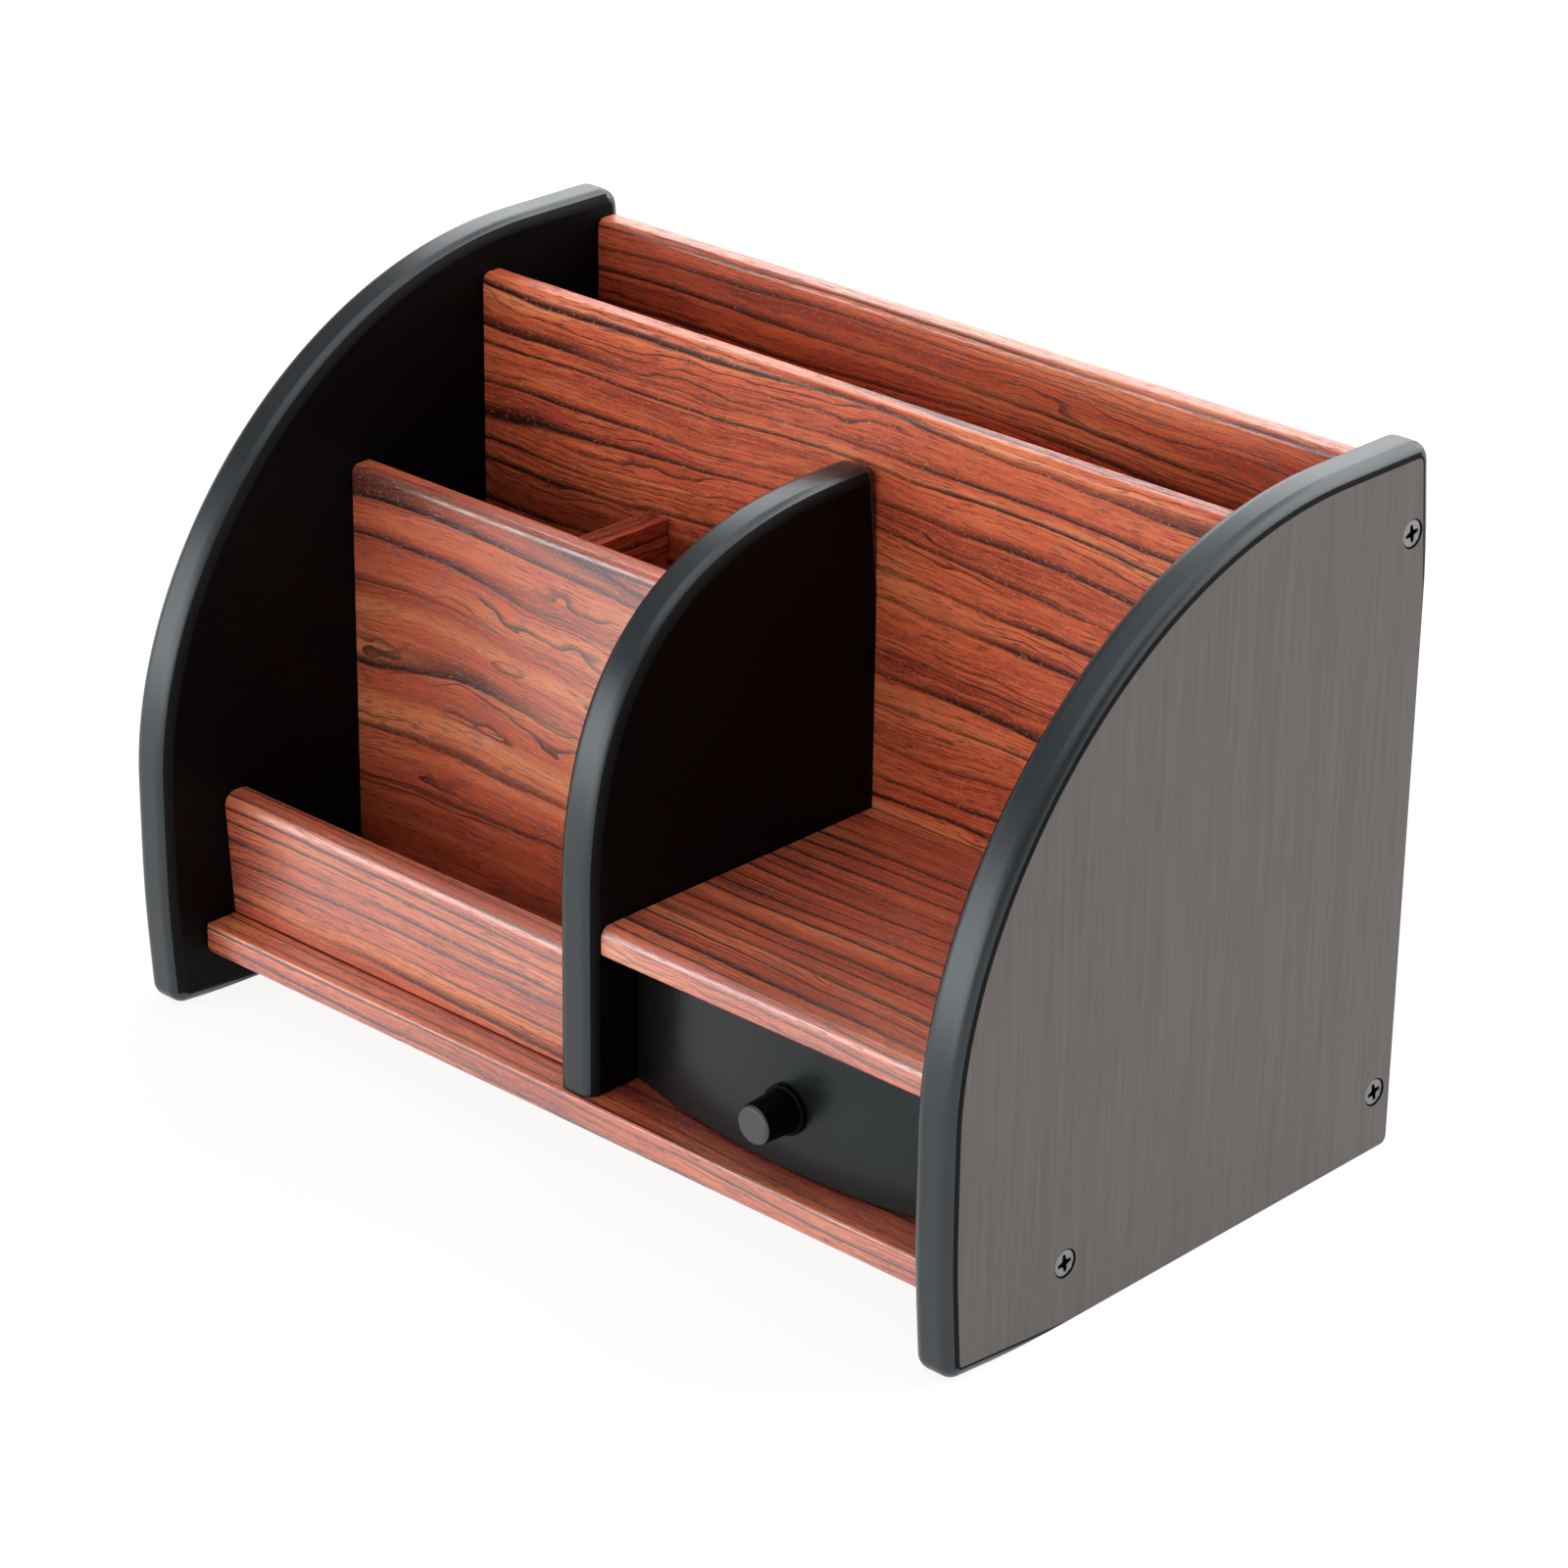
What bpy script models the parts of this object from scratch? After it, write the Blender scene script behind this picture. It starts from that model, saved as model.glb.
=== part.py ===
"""Pen holder with drawer: a wooden desk organizer of boards between three arc-fronted panels.

Metres, +Z up, front towards -Y. The origin is at the middle of the footprint, on the table.
Every size is a named value; places are worked out from these by the functions below.
"""
import math

import bmesh
import bpy
from mathutils import Matrix, Vector

# Stock
PANEL_THICKNESS = 0.0095
BOARD_THICKNESS = 0.0063
BASE_THICKNESS = 0.0075
FENCE_THICKNESS = 0.0080
FIT_GAP = 0.0003

# Widths, from the left panel to the right one
PEN_CELL_WIDTH = 0.0495
DRAWER_BAY_WIDTH = 0.0948

# Depths, from the back edge of the side panels to their front
BACK_RECESS = 0.0010
LETTER_SLOT_DEPTH = 0.0283
PEN_BAY_DEPTH = 0.0324
FRONT_POCKET_DEPTH = 0.0287
BASE_LEDGE = 0.0077
PANEL_OVERHANG = 0.0103
SHELF_SETBACK = 0.0039
CENTRE_DIVIDER_SETBACK = 0.0011
DRAWER_SETBACK = 0.0072

# Heights, from the table
BASE_LIFT = 0.0099
BACK_BOARD_HEIGHT = 0.1294
PANEL_RISE = 0.0056
MAIN_DIVIDER_DROP = 0.0041
PEN_DIVIDER_DROP = 0.0332
PARTITION_DROP = 0.0076
CENTRE_DIVIDER_DROP = 0.0128
FENCE_HEIGHT = 0.0284
FENCE_LEAN = 0.0019
DRAWER_BAY_HEIGHT = 0.0311

# Rounded edges
PANEL_EDGE_ROUND = 0.0029
PANEL_BACK_CORNER = 0.0045
PANEL_HEEL_CORNER = 0.0015
PANEL_TOE_CORNER = 0.0038
DIVIDER_BACK_CORNER = 0.0028
BOARD_EDGE_ROUND = 0.0018
FENCE_EDGE_ROUND = 0.0031
SHELF_EDGE_ROUND = 0.0024
SHELF_UNDER_ROUND = 0.0008
BASE_EDGE_ROUND = 0.0007
BASE_UNDER_ROUND = 0.0026
DRAWER_EDGE_ROUND = 0.0008

# Outline of a side panel, as shares of its depth and height
PANEL_CREST_SHARE = 0.197
PANEL_CREST_PULL_SHARE = 0.469
PANEL_NOSE_HEIGHT_SHARE = 0.337
PANEL_NOSE_PULL_SHARE = 0.317
PANEL_TOE_PULL_SHARE = 0.175
PANEL_TOE_SETBACK = 0.0016

# Outline of the centre divider, as shares of its depth and height
DIVIDER_CREST_PULL_SHARE = 0.266
DIVIDER_NOSE_HEIGHT_SHARE = 0.372
DIVIDER_NOSE_PULL_SHARE = 0.635

# Drawer
DRAWER_RUNNING_GAP = 0.0003
DRAWER_TOP_GAP = 0.0008
DRAWER_SIDE_GAP = 0.0005
DRAWER_REAR_GAP = 0.0008
DRAWER_FRONT_THICKNESS = 0.0060
DRAWER_BOW = 0.0067
DRAWER_SIDE_THICKNESS = 0.0048
DRAWER_BOTTOM_THICKNESS = 0.0030
DRAWER_BOTTOM_LIFT = 0.0030
DRAWER_GROOVE_DEPTH = 0.0020
DRAWER_SIDE_DROP = 0.0008
DRAWER_REAR_DROP = 0.0030

# Knob
KNOB_HEIGHT_SHARE = 0.45
KNOB_LENGTH = 0.0097
KNOB_FOOT_DIAMETER = 0.0091
KNOB_TIP_DIAMETER = 0.0083
KNOB_TIP_CHAMFER = 0.0005
KNOB_COLLAR_DIAMETER = 0.0106
KNOB_COLLAR_HEIGHT = 0.0012
KNOB_COLLAR_ROUND = 0.0004

# Wood screws, countersunk with a cross recess
SCREW_HEAD_DIAMETER = 0.0055
SCREW_RIM = 0.0003
SCREW_SHANK_DIAMETER = 0.0026
SCREW_LENGTH = 0.0250
SCREW_TIP = 0.0030
SCREW_SINK = 0.0002
CROSS_REACH = 0.0019
CROSS_WIDTH = 0.0012
CROSS_TIP_WIDTH = 0.0007
CROSS_DEPTH = 0.0011
CROSS_TURN = math.radians(8)
TOP_SCREW_DROP = 0.0126
REAR_SCREW_SHARE = 0.62
FRONT_SCREW_INSET = 0.0239
BASE_SCREW_SHARES = (0.22, 0.78)
END_SCREW_SHARE = 0.43

# Knob screw, with a low round head
KNOB_SCREW_HEAD_DIAMETER = 0.0058
KNOB_SCREW_HEAD_HEIGHT = 0.0018
KNOB_SCREW_DIAMETER = 0.0028
KNOB_SCREW_BITE = 0.0060

# Dowels; the bite into a panel is a share of its thickness
DOWEL_DIAMETER = 0.0030
DOWEL_BOARD_BITE = 0.0080
DOWEL_PANEL_BITE_SHARE = 0.40
DOWEL_FACE_BITE_SHARE = 0.50
DRAWER_DOWEL_DIAMETER = 0.0022
DRAWER_DOWEL_BITE = 0.0060
DRAWER_DOWEL_FRONT_BITE = 0.0035
PAIR_SHARES = (0.25, 0.75)
FENCE_PAIR_SHARES = (0.28, 0.70)

# Making
CUT_OVERRUN = 0.0010
WELD_DISTANCE = 0.000002
PLACE_TOLERANCE = 0.00001
FLAT_ANGLE = math.radians(0.1)
SMOOTH_ANGLE = math.radians(30)
CURVE_STEPS = 26
CORNER_STEPS = 4
ROUND_STEPS = 3
BOW_STEPS = 24
SCREW_STEPS = 20
KNOB_STEPS = 32
DOWEL_STEPS = 12

# Places that follow from the sizes
PEN_BAY_WIDTH = 2 * PEN_CELL_WIDTH + BOARD_THICKNESS
OVERALL_WIDTH = 3 * PANEL_THICKNESS + PEN_BAY_WIDTH + DRAWER_BAY_WIDTH
LEFT_OUTER = -OVERALL_WIDTH / 2
LEFT_INNER = LEFT_OUTER + PANEL_THICKNESS
RIGHT_OUTER = OVERALL_WIDTH / 2
RIGHT_INNER = RIGHT_OUTER - PANEL_THICKNESS
DIVIDER_LEFT = LEFT_INNER + PEN_BAY_WIDTH
DIVIDER_RIGHT = DIVIDER_LEFT + PANEL_THICKNESS
PARTITION_LEFT = LEFT_INNER + PEN_CELL_WIDTH
PARTITION_RIGHT = PARTITION_LEFT + BOARD_THICKNESS

BACK_FRONT = BACK_RECESS + BOARD_THICKNESS
MAIN_BACK = BACK_FRONT + LETTER_SLOT_DEPTH
MAIN_FRONT = MAIN_BACK + BOARD_THICKNESS
PEN_BACK = MAIN_FRONT + PEN_BAY_DEPTH
PEN_FRONT = PEN_BACK + BOARD_THICKNESS
FENCE_BACK = PEN_FRONT + FRONT_POCKET_DEPTH
FENCE_FRONT = FENCE_BACK + FENCE_THICKNESS
BASE_FRONT = FENCE_FRONT + BASE_LEDGE
OVERALL_DEPTH = BASE_FRONT + PANEL_OVERHANG
SHELF_FRONT = BASE_FRONT - SHELF_SETBACK
DIVIDER_FRONT = BASE_FRONT - CENTRE_DIVIDER_SETBACK
DRAWER_NOSE = BASE_FRONT - DRAWER_SETBACK
BACK_Y = OVERALL_DEPTH / 2

BASE_TOP = BASE_LIFT + BASE_THICKNESS
SEAT = BASE_TOP + FIT_GAP
BACK_BOARD_TOP = BASE_TOP + BACK_BOARD_HEIGHT
OVERALL_HEIGHT = BACK_BOARD_TOP + PANEL_RISE
MAIN_TOP = BACK_BOARD_TOP - MAIN_DIVIDER_DROP
PEN_DIVIDER_TOP = MAIN_TOP - PEN_DIVIDER_DROP
PARTITION_TOP = PEN_DIVIDER_TOP - PARTITION_DROP
CENTRE_DIVIDER_TOP = MAIN_TOP - CENTRE_DIVIDER_DROP
FENCE_TOP = BASE_TOP + FENCE_HEIGHT
SHELF_BOTTOM = BASE_TOP + DRAWER_BAY_HEIGHT
SHELF_TOP = SHELF_BOTTOM + BOARD_THICKNESS

DRAWER_LEFT = DIVIDER_RIGHT + DRAWER_SIDE_GAP
DRAWER_RIGHT = RIGHT_INNER - DRAWER_SIDE_GAP
DRAWER_MIDDLE = (DRAWER_LEFT + DRAWER_RIGHT) / 2
DRAWER_FLOOR = BASE_TOP + DRAWER_RUNNING_GAP
DRAWER_RIM = SHELF_BOTTOM - DRAWER_TOP_GAP
DRAWER_SHOULDER = DRAWER_NOSE - DRAWER_BOW
DRAWER_FRONT_BACK = DRAWER_SHOULDER - DRAWER_FRONT_THICKNESS
DRAWER_REAR = MAIN_FRONT + DRAWER_REAR_GAP
KNOB_HEIGHT = DRAWER_FLOOR + KNOB_HEIGHT_SHARE * (DRAWER_RIM - DRAWER_FLOOR)

AXIS_X = Vector((1, 0, 0))
AXIS_Y = Vector((0, 1, 0))
AXIS_Z = Vector((0, 0, 1))


def depth_at(setback):
    """World Y of a place that lies this far in front of the panels' back edge."""
    return BACK_Y - setback


def between(low, high, share):
    """Place at a share of the way from low to high."""
    return low + share * (high - low)


def clear_scene():
    """Removes every object of the open file, so that the model stands alone."""
    for obj in list(bpy.data.objects):
        bpy.data.objects.remove(obj, do_unlink=True)


def new_collection(name):
    """Adds a collection to the scene."""
    collection = bpy.data.collections.new(name)
    bpy.context.scene.collection.children.link(collection)
    return collection


def new_material(name, colour, roughness, metallic=0.0):
    """Adds a Principled material."""
    material = bpy.data.materials.new(name)
    material.use_nodes = True
    shader = material.node_tree.nodes["Principled BSDF"]
    shader.inputs["Base Color"].default_value = (*colour, 1.0)
    shader.inputs["Roughness"].default_value = roughness
    shader.inputs["Metallic"].default_value = metallic
    return material


def bake(obj):
    """Returns the evaluated mesh of a helper object, welded, and removes the object."""
    bpy.context.view_layer.update()
    depsgraph = bpy.context.evaluated_depsgraph_get()
    mesh = bpy.data.meshes.new_from_object(obj.evaluated_get(depsgraph))
    mesh.transform(obj.matrix_world)
    source = obj.data
    is_curve = obj.type == "CURVE"
    bpy.data.objects.remove(obj, do_unlink=True)
    if is_curve:
        bpy.data.curves.remove(source)
    else:
        bpy.data.meshes.remove(source)
    bm = bmesh.new()
    bm.from_mesh(mesh)
    bmesh.ops.remove_doubles(bm, verts=bm.verts, dist=WELD_DISTANCE)
    bmesh.ops.recalc_face_normals(bm, faces=bm.faces)
    bm.to_mesh(mesh)
    bm.free()
    return mesh


def helper_object(name, data):
    """Links helper data to the scene for evaluation."""
    obj = bpy.data.objects.new(name, data)
    bpy.context.scene.collection.objects.link(obj)
    return obj


def turned_mesh(name, profile, steps):
    """Mesh of a profile of (radius, height) points, listed from the top down, turned about Z."""
    mesh = bpy.data.meshes.new(name)
    edges = [(i, i + 1) for i in range(len(profile) - 1)]
    mesh.from_pydata([(radius, 0.0, height) for radius, height in profile], edges, [])
    obj = helper_object(name, mesh)
    turn = obj.modifiers.new("Turn", "SCREW")
    turn.steps = steps
    turn.render_steps = steps
    turn.use_merge_vertices = True
    turn.merge_threshold = WELD_DISTANCE
    return bake(obj)


def outline_mesh(name, points, thickness):
    """Mesh of a flat outline in XY, filled and given its thickness along Z, about its middle.

    Each flat side becomes one face, so that only true arrises are left as edges.
    """
    curve = bpy.data.curves.new(name, "CURVE")
    curve.dimensions = "2D"
    curve.fill_mode = "BOTH"
    curve.extrude = thickness / 2
    spline = curve.splines.new("POLY")
    spline.points.add(len(points) - 1)
    for point, (u, v) in zip(spline.points, points):
        point.co = (u, v, 0.0, 1.0)
    spline.use_cyclic_u = True
    mesh = bake(helper_object(name, curve))
    bm = bmesh.new()
    bm.from_mesh(mesh)
    bmesh.ops.dissolve_limit(bm, angle_limit=FLAT_ANGLE, verts=bm.verts, edges=bm.edges)
    bm.to_mesh(mesh)
    bm.free()
    return mesh


def box_mesh(name, low, high):
    """Mesh of a box between two corners."""
    mesh = bpy.data.meshes.new(name)
    bm = bmesh.new()
    bmesh.ops.create_cube(bm, size=1.0)
    low, high = Vector(low), Vector(high)
    for vert in bm.verts:
        vert.co = [low[i] + (vert.co[i] + 0.5) * (high[i] - low[i]) for i in range(3)]
    bm.to_mesh(mesh)
    bm.free()
    return mesh


def joined_mesh(name, meshes_and_places):
    """One mesh that holds each given mesh at its place, as separate bodies."""
    bm = bmesh.new()
    for mesh, place in meshes_and_places:
        copy = mesh.copy()
        copy.transform(place)
        bm.from_mesh(copy)
        bpy.data.meshes.remove(copy)
    joined = bpy.data.meshes.new(name)
    bm.to_mesh(joined)
    bm.free()
    return joined


def facing(direction, place):
    """Matrix that turns +Z to the direction and moves the origin to the place."""
    turn = AXIS_Z.rotation_difference(Vector(direction)).to_matrix().to_4x4()
    return Matrix.Translation(Vector(place)) @ turn


def bezier(start, start_pull, end_pull, end, steps):
    """Points of a cubic curve, without its last point."""
    points = []
    for i in range(steps):
        t = i / steps
        s = 1 - t
        weights = (s ** 3, 3 * s * s * t, 3 * s * t * t, t ** 3)
        corners = (start, start_pull, end_pull, end)
        points.append(tuple(sum(w * c[k] for w, c in zip(weights, corners)) for k in range(2)))
    return points


def arc(centre, radius, start, end, steps):
    """Points of a circular arc between two angles, both ends included."""
    angles = [start + (end - start) * i / steps for i in range(steps + 1)]
    return [(centre[0] + radius * math.cos(a), centre[1] + radius * math.sin(a)) for a in angles]


class Workshop:
    """Collects the pieces, and the holes that their fixings cut in them."""

    def __init__(self):
        self.parts = new_collection("pen_holder_with_drawer")
        self.cutters = new_collection("cutters")
        self.holes = {}
        self.black = new_material("black_satin_lacquer", (0.018, 0.020, 0.021), 0.38)
        self.veneer = new_material("rosewood_veneer", (0.36, 0.085, 0.040), 0.36)
        self.beech = new_material("beech_dowel", (0.62, 0.44, 0.26), 0.60)
        self.steel = new_material("zinc_plated_steel", (0.58, 0.57, 0.55), 0.32, 1.0)

    def piece(self, name, mesh, material, place=None):
        """Adds a named piece. Copies of a repeated piece share one mesh."""
        obj = bpy.data.objects.new(name, mesh)
        if not mesh.materials:
            mesh.materials.append(material)
        obj.matrix_world = place or Matrix.Identity(4)
        self.parts.objects.link(obj)
        return obj

    def cut(self, name, mesh, place=None):
        """Notes a hole or groove for a piece."""
        self.holes.setdefault(name, []).append((mesh, place or Matrix.Identity(4)))

    def cut_all(self):
        """Takes the noted holes out of their pieces."""
        for name, cuts in self.holes.items():
            cutter = bpy.data.objects.new(name + "_cutter", joined_mesh(name + "_cutter", cuts))
            cutter.hide_render = True
            cutter.display_type = "WIRE"
            self.cutters.objects.link(cutter)
            boolean = bpy.data.objects[name].modifiers.new("Holes", "BOOLEAN")
            boolean.operation = "DIFFERENCE"
            boolean.solver = "EXACT"
            boolean.object = cutter


def round_edges(obj, radius, share_of):
    """Rounds edges by share_of(middle, direction): 1 or True is the full radius, 0 leaves one sharp."""
    mesh = obj.data
    weights = mesh.attributes.new("bevel_weight_edge", "FLOAT", "EDGE")
    for edge in mesh.edges:
        start, end = (mesh.vertices[i].co for i in edge.vertices)
        weights.data[edge.index].value = float(share_of((start + end) / 2, (end - start).normalized()))
    bevel = obj.modifiers.new("Rounded edges", "BEVEL")
    bevel.limit_method = "WEIGHT"
    bevel.width = radius
    bevel.segments = ROUND_STEPS


def along_x(direction):
    """Whether an edge runs across the holder."""
    return abs(direction.x) > abs(direction.y) + abs(direction.z)


def dowel(shop, name, first, second, place, direction, bites, diameter=DOWEL_DIAMETER):
    """Adds a dowel across the joint at the place, and its holes in both pieces.

    The direction points from the first piece into the second. bites holds how far the dowel goes
    into each.
    """
    radius = diameter / 2
    start, end = -bites[0], bites[1]
    where = facing(direction, place)
    profile = [(0.0, end), (radius, end), (radius, start), (0.0, start)]
    obj = shop.piece(name, turned_mesh(name, profile, DOWEL_STEPS), shop.beech, where)
    bore = radius + FIT_GAP
    low, high = start - FIT_GAP, end + FIT_GAP
    into_first = [(0.0, CUT_OVERRUN), (bore, CUT_OVERRUN), (bore, low), (0.0, low)]
    into_second = [(0.0, high), (bore, high), (bore, -CUT_OVERRUN), (0.0, -CUT_OVERRUN)]
    shop.cut(first, turned_mesh("bore", into_first, DOWEL_STEPS), where)
    shop.cut(second, turned_mesh("bore", into_second, DOWEL_STEPS), where)
    return obj


def cross_outline():
    """Outline of the cross recess in a screw's head."""
    half, tip, reach = CROSS_WIDTH / 2, CROSS_TIP_WIDTH / 2, CROSS_REACH
    quarter = [(reach, -tip), (reach, tip), (half, half)]
    points = []
    for i in range(4):
        c, s = round(math.cos(i * math.pi / 2)), round(math.sin(i * math.pi / 2))
        points += [(c * u - s * v, s * u + c * v) for u, v in quarter]
    return points


def with_cross(mesh, top):
    """Cuts the cross recess into a screw whose head ends at the height top."""
    obj = helper_object("screw", mesh)
    recess = outline_mesh("cross", cross_outline(), CROSS_DEPTH + CUT_OVERRUN)
    recess.transform(Matrix.Rotation(CROSS_TURN, 4, "Z"))
    recess.transform(Matrix.Translation((0, 0, top + (CUT_OVERRUN - CROSS_DEPTH) / 2)))
    cutter = helper_object("cross", recess)
    boolean = obj.modifiers.new("Cross", "BOOLEAN")
    boolean.solver = "EXACT"
    boolean.object = cutter
    result = bake(obj)
    bpy.data.objects.remove(cutter, do_unlink=True)
    return result


def countersunk_profile(extra, length):
    """Profile of a countersunk screw, or of its hole where extra is the clearance."""
    head, shank = SCREW_HEAD_DIAMETER / 2 + extra, SCREW_SHANK_DIAMETER / 2 + extra
    cone = -SCREW_RIM - (head - shank)
    return [(head, 0.0), (head, -SCREW_RIM), (shank, cone), (shank, -length)]


def wood_screw_mesh():
    """Countersunk screw with its head's top at the origin, pointing down."""
    profile = [(0.0, 0.0)] + countersunk_profile(0.0, SCREW_LENGTH - SCREW_TIP) + [(0.0, -SCREW_LENGTH)]
    return with_cross(turned_mesh("wood_screw", profile, SCREW_STEPS), 0.0)


def wood_screw(shop, name, shape, outer, inner, thickness, face, direction):
    """Adds a screw through the outer piece into the inner one, and its holes.

    face is the point on the outer piece's surface and direction points out of it.
    """
    place = facing(direction, Vector(face) - Vector(direction) * SCREW_SINK)
    shop.piece(name, shape, shop.steel, place)
    through = thickness + CUT_OVERRUN
    sunk = countersunk_profile(FIT_GAP, through)
    profile = [(0.0, CUT_OVERRUN), (sunk[0][0], CUT_OVERRUN)] + sunk[1:] + [(0.0, -through)]
    shop.cut(outer, turned_mesh("screw_hole", profile, SCREW_STEPS), place)
    bore = SCREW_SHANK_DIAMETER / 2 + FIT_GAP
    mouth = SCREW_SINK - thickness + CUT_OVERRUN
    end = -SCREW_LENGTH - FIT_GAP
    pilot = [(0.0, mouth), (bore, mouth), (bore, end), (0.0, end)]
    shop.cut(inner, turned_mesh("pilot_hole", pilot, SCREW_STEPS), place)


def side_panel_outline():
    """Outline of a side panel in (Y, Z): heel, back, crest, arc, nose and toe."""
    back, front = depth_at(0.0), depth_at(OVERALL_DEPTH)
    top = OVERALL_HEIGHT
    heel, corner, round_toe = PANEL_HEEL_CORNER, PANEL_BACK_CORNER, PANEL_TOE_CORNER
    crest = (depth_at(PANEL_CREST_SHARE * OVERALL_DEPTH), top)
    crest_pull = (crest[0] - PANEL_CREST_PULL_SHARE * OVERALL_DEPTH, top)
    nose = (front, PANEL_NOSE_HEIGHT_SHARE * top)
    nose_pull = (front, nose[1] + PANEL_NOSE_PULL_SHARE * top)
    toe_pull = (front, nose[1] - PANEL_TOE_PULL_SHARE * top)
    lean = math.atan2(PANEL_TOE_SETBACK, toe_pull[1] - round_toe)
    toe_centre = (front + PANEL_TOE_SETBACK + round_toe, round_toe)
    toe = arc(toe_centre, round_toe, math.pi + lean, 3 * math.pi / 2, CORNER_STEPS)
    points = arc((back - heel, heel), heel, -math.pi / 2, 0.0, CORNER_STEPS)
    points += arc((back - corner, top - corner), corner, 0.0, math.pi / 2, CORNER_STEPS)
    points += bezier(crest, crest_pull, nose_pull, nose, CURVE_STEPS)
    points += bezier(nose, toe_pull, toe_pull, toe[0], CORNER_STEPS)
    return points + toe


def centre_divider_outline():
    """Outline of the centre divider in (Y, Z), from its lower back corner."""
    back, front = depth_at(MAIN_FRONT + FIT_GAP), depth_at(DIVIDER_FRONT)
    top, corner = CENTRE_DIVIDER_TOP, DIVIDER_BACK_CORNER
    depth, height = back - front, top - SEAT
    crest = (back - corner, top)
    crest_pull = (crest[0] - DIVIDER_CREST_PULL_SHARE * depth, top)
    nose = (front, SEAT + DIVIDER_NOSE_HEIGHT_SHARE * height)
    nose_pull = (front, nose[1] + DIVIDER_NOSE_PULL_SHARE * height)
    points = [(back, SEAT)]
    points += arc((back - corner, top - corner), corner, 0.0, math.pi / 2, CORNER_STEPS)[:-1]
    points += bezier(crest, crest_pull, nose_pull, nose, CURVE_STEPS)
    points += [nose, (front, SEAT)]
    return points


def upright(shop, name, outline, left):
    """Stands a panel of the panel thickness up on its edge, with its left face at left."""
    mesh = outline_mesh(name, outline, PANEL_THICKNESS)
    stand = Matrix(((0, 0, 1, 0), (1, 0, 0, 0), (0, 1, 0, 0), (0, 0, 0, 1)))
    mesh.transform(Matrix.Translation((left + PANEL_THICKNESS / 2, 0, 0)) @ stand)
    obj = shop.piece(name, mesh, shop.black)
    back = max(y for y, z in outline)
    floor = min(z for y, z in outline)

    def on_arc(middle, direction):
        crosses = along_x(direction)
        at_back = middle.y > back - PLACE_TOLERANCE
        at_floor = middle.z < floor + PLACE_TOLERANCE
        at_heel = middle.z < floor + PANEL_HEEL_CORNER and middle.y > back - PANEL_HEEL_CORNER
        return not (crosses or at_back or at_floor or at_heel)

    round_edges(obj, PANEL_EDGE_ROUND, on_arc)
    return obj


def board(shop, name, low, high, material):
    """Adds a board between two corners."""
    return shop.piece(name, box_mesh(name, low, high), material)


def round_top(obj, top, radius):
    """Rounds over the long top edges of a standing board."""
    round_edges(obj, radius, lambda middle, way: along_x(way) and middle.z > top - PLACE_TOLERANCE)


def round_front(obj, front, middle_height, upper, under):
    """Rounds the long front edges of a lying board, each by its own radius."""
    widest = max(upper, under)

    def share_of(middle, way):
        if not along_x(way) or middle.y > front + PLACE_TOLERANCE:
            return 0.0
        return (upper if middle.z > middle_height else under) / widest

    round_edges(obj, widest, share_of)


def build_panels(shop):
    """Side panels and centre divider."""
    upright(shop, "left_side_panel", side_panel_outline(), LEFT_OUTER)
    upright(shop, "right_side_panel", side_panel_outline(), RIGHT_INNER)
    upright(shop, "centre_divider", centre_divider_outline(), DIVIDER_LEFT)


def build_boards(shop):
    """Base, back board, dividers, fence, partition and drawer shelf."""
    veneer = shop.veneer
    left, right = LEFT_INNER + FIT_GAP, RIGHT_INNER - FIT_GAP
    bay_right = DIVIDER_LEFT - FIT_GAP
    base_back, base_front = depth_at(BACK_RECESS), depth_at(BASE_FRONT)
    base = board(shop, "base_board", (left, base_front, BASE_LIFT), (right, base_back, BASE_TOP), veneer)
    round_front(base, base_front, (BASE_LIFT + BASE_TOP) / 2, BASE_EDGE_ROUND, BASE_UNDER_ROUND)
    standing = (
        ("back_board", right, BACK_FRONT, BACK_RECESS, BACK_BOARD_TOP),
        ("main_divider_board", right, MAIN_FRONT, MAIN_BACK, MAIN_TOP),
        ("pen_divider_board", bay_right, PEN_FRONT, PEN_BACK, PEN_DIVIDER_TOP),
    )
    for name, high_x, front, back, top in standing:
        obj = board(shop, name, (left, depth_at(front), SEAT), (high_x, depth_at(back), top), veneer)
        round_top(obj, top, BOARD_EDGE_ROUND)
    low = (left, depth_at(FENCE_FRONT), SEAT)
    high = (bay_right, depth_at(FENCE_BACK), FENCE_TOP)
    fence = board(shop, "front_fence", low, high, veneer)
    for vert in fence.data.vertices:
        vert.co.y -= FENCE_LEAN * (vert.co.z - SEAT) / (FENCE_TOP - SEAT)
    round_top(fence, FENCE_TOP, FENCE_EDGE_ROUND)
    low = (PARTITION_LEFT, depth_at(PEN_BACK - FIT_GAP), SEAT)
    high = (PARTITION_RIGHT, depth_at(MAIN_FRONT + FIT_GAP), PARTITION_TOP)
    board(shop, "pen_partition", low, high, veneer)
    low = (DIVIDER_RIGHT + FIT_GAP, depth_at(SHELF_FRONT), SHELF_BOTTOM)
    high = (right, depth_at(MAIN_FRONT + FIT_GAP), SHELF_TOP)
    shelf = board(shop, "drawer_shelf", low, high, veneer)
    middle = (SHELF_BOTTOM + SHELF_TOP) / 2
    round_front(shelf, depth_at(SHELF_FRONT), middle, SHELF_EDGE_ROUND, SHELF_UNDER_ROUND)


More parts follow.
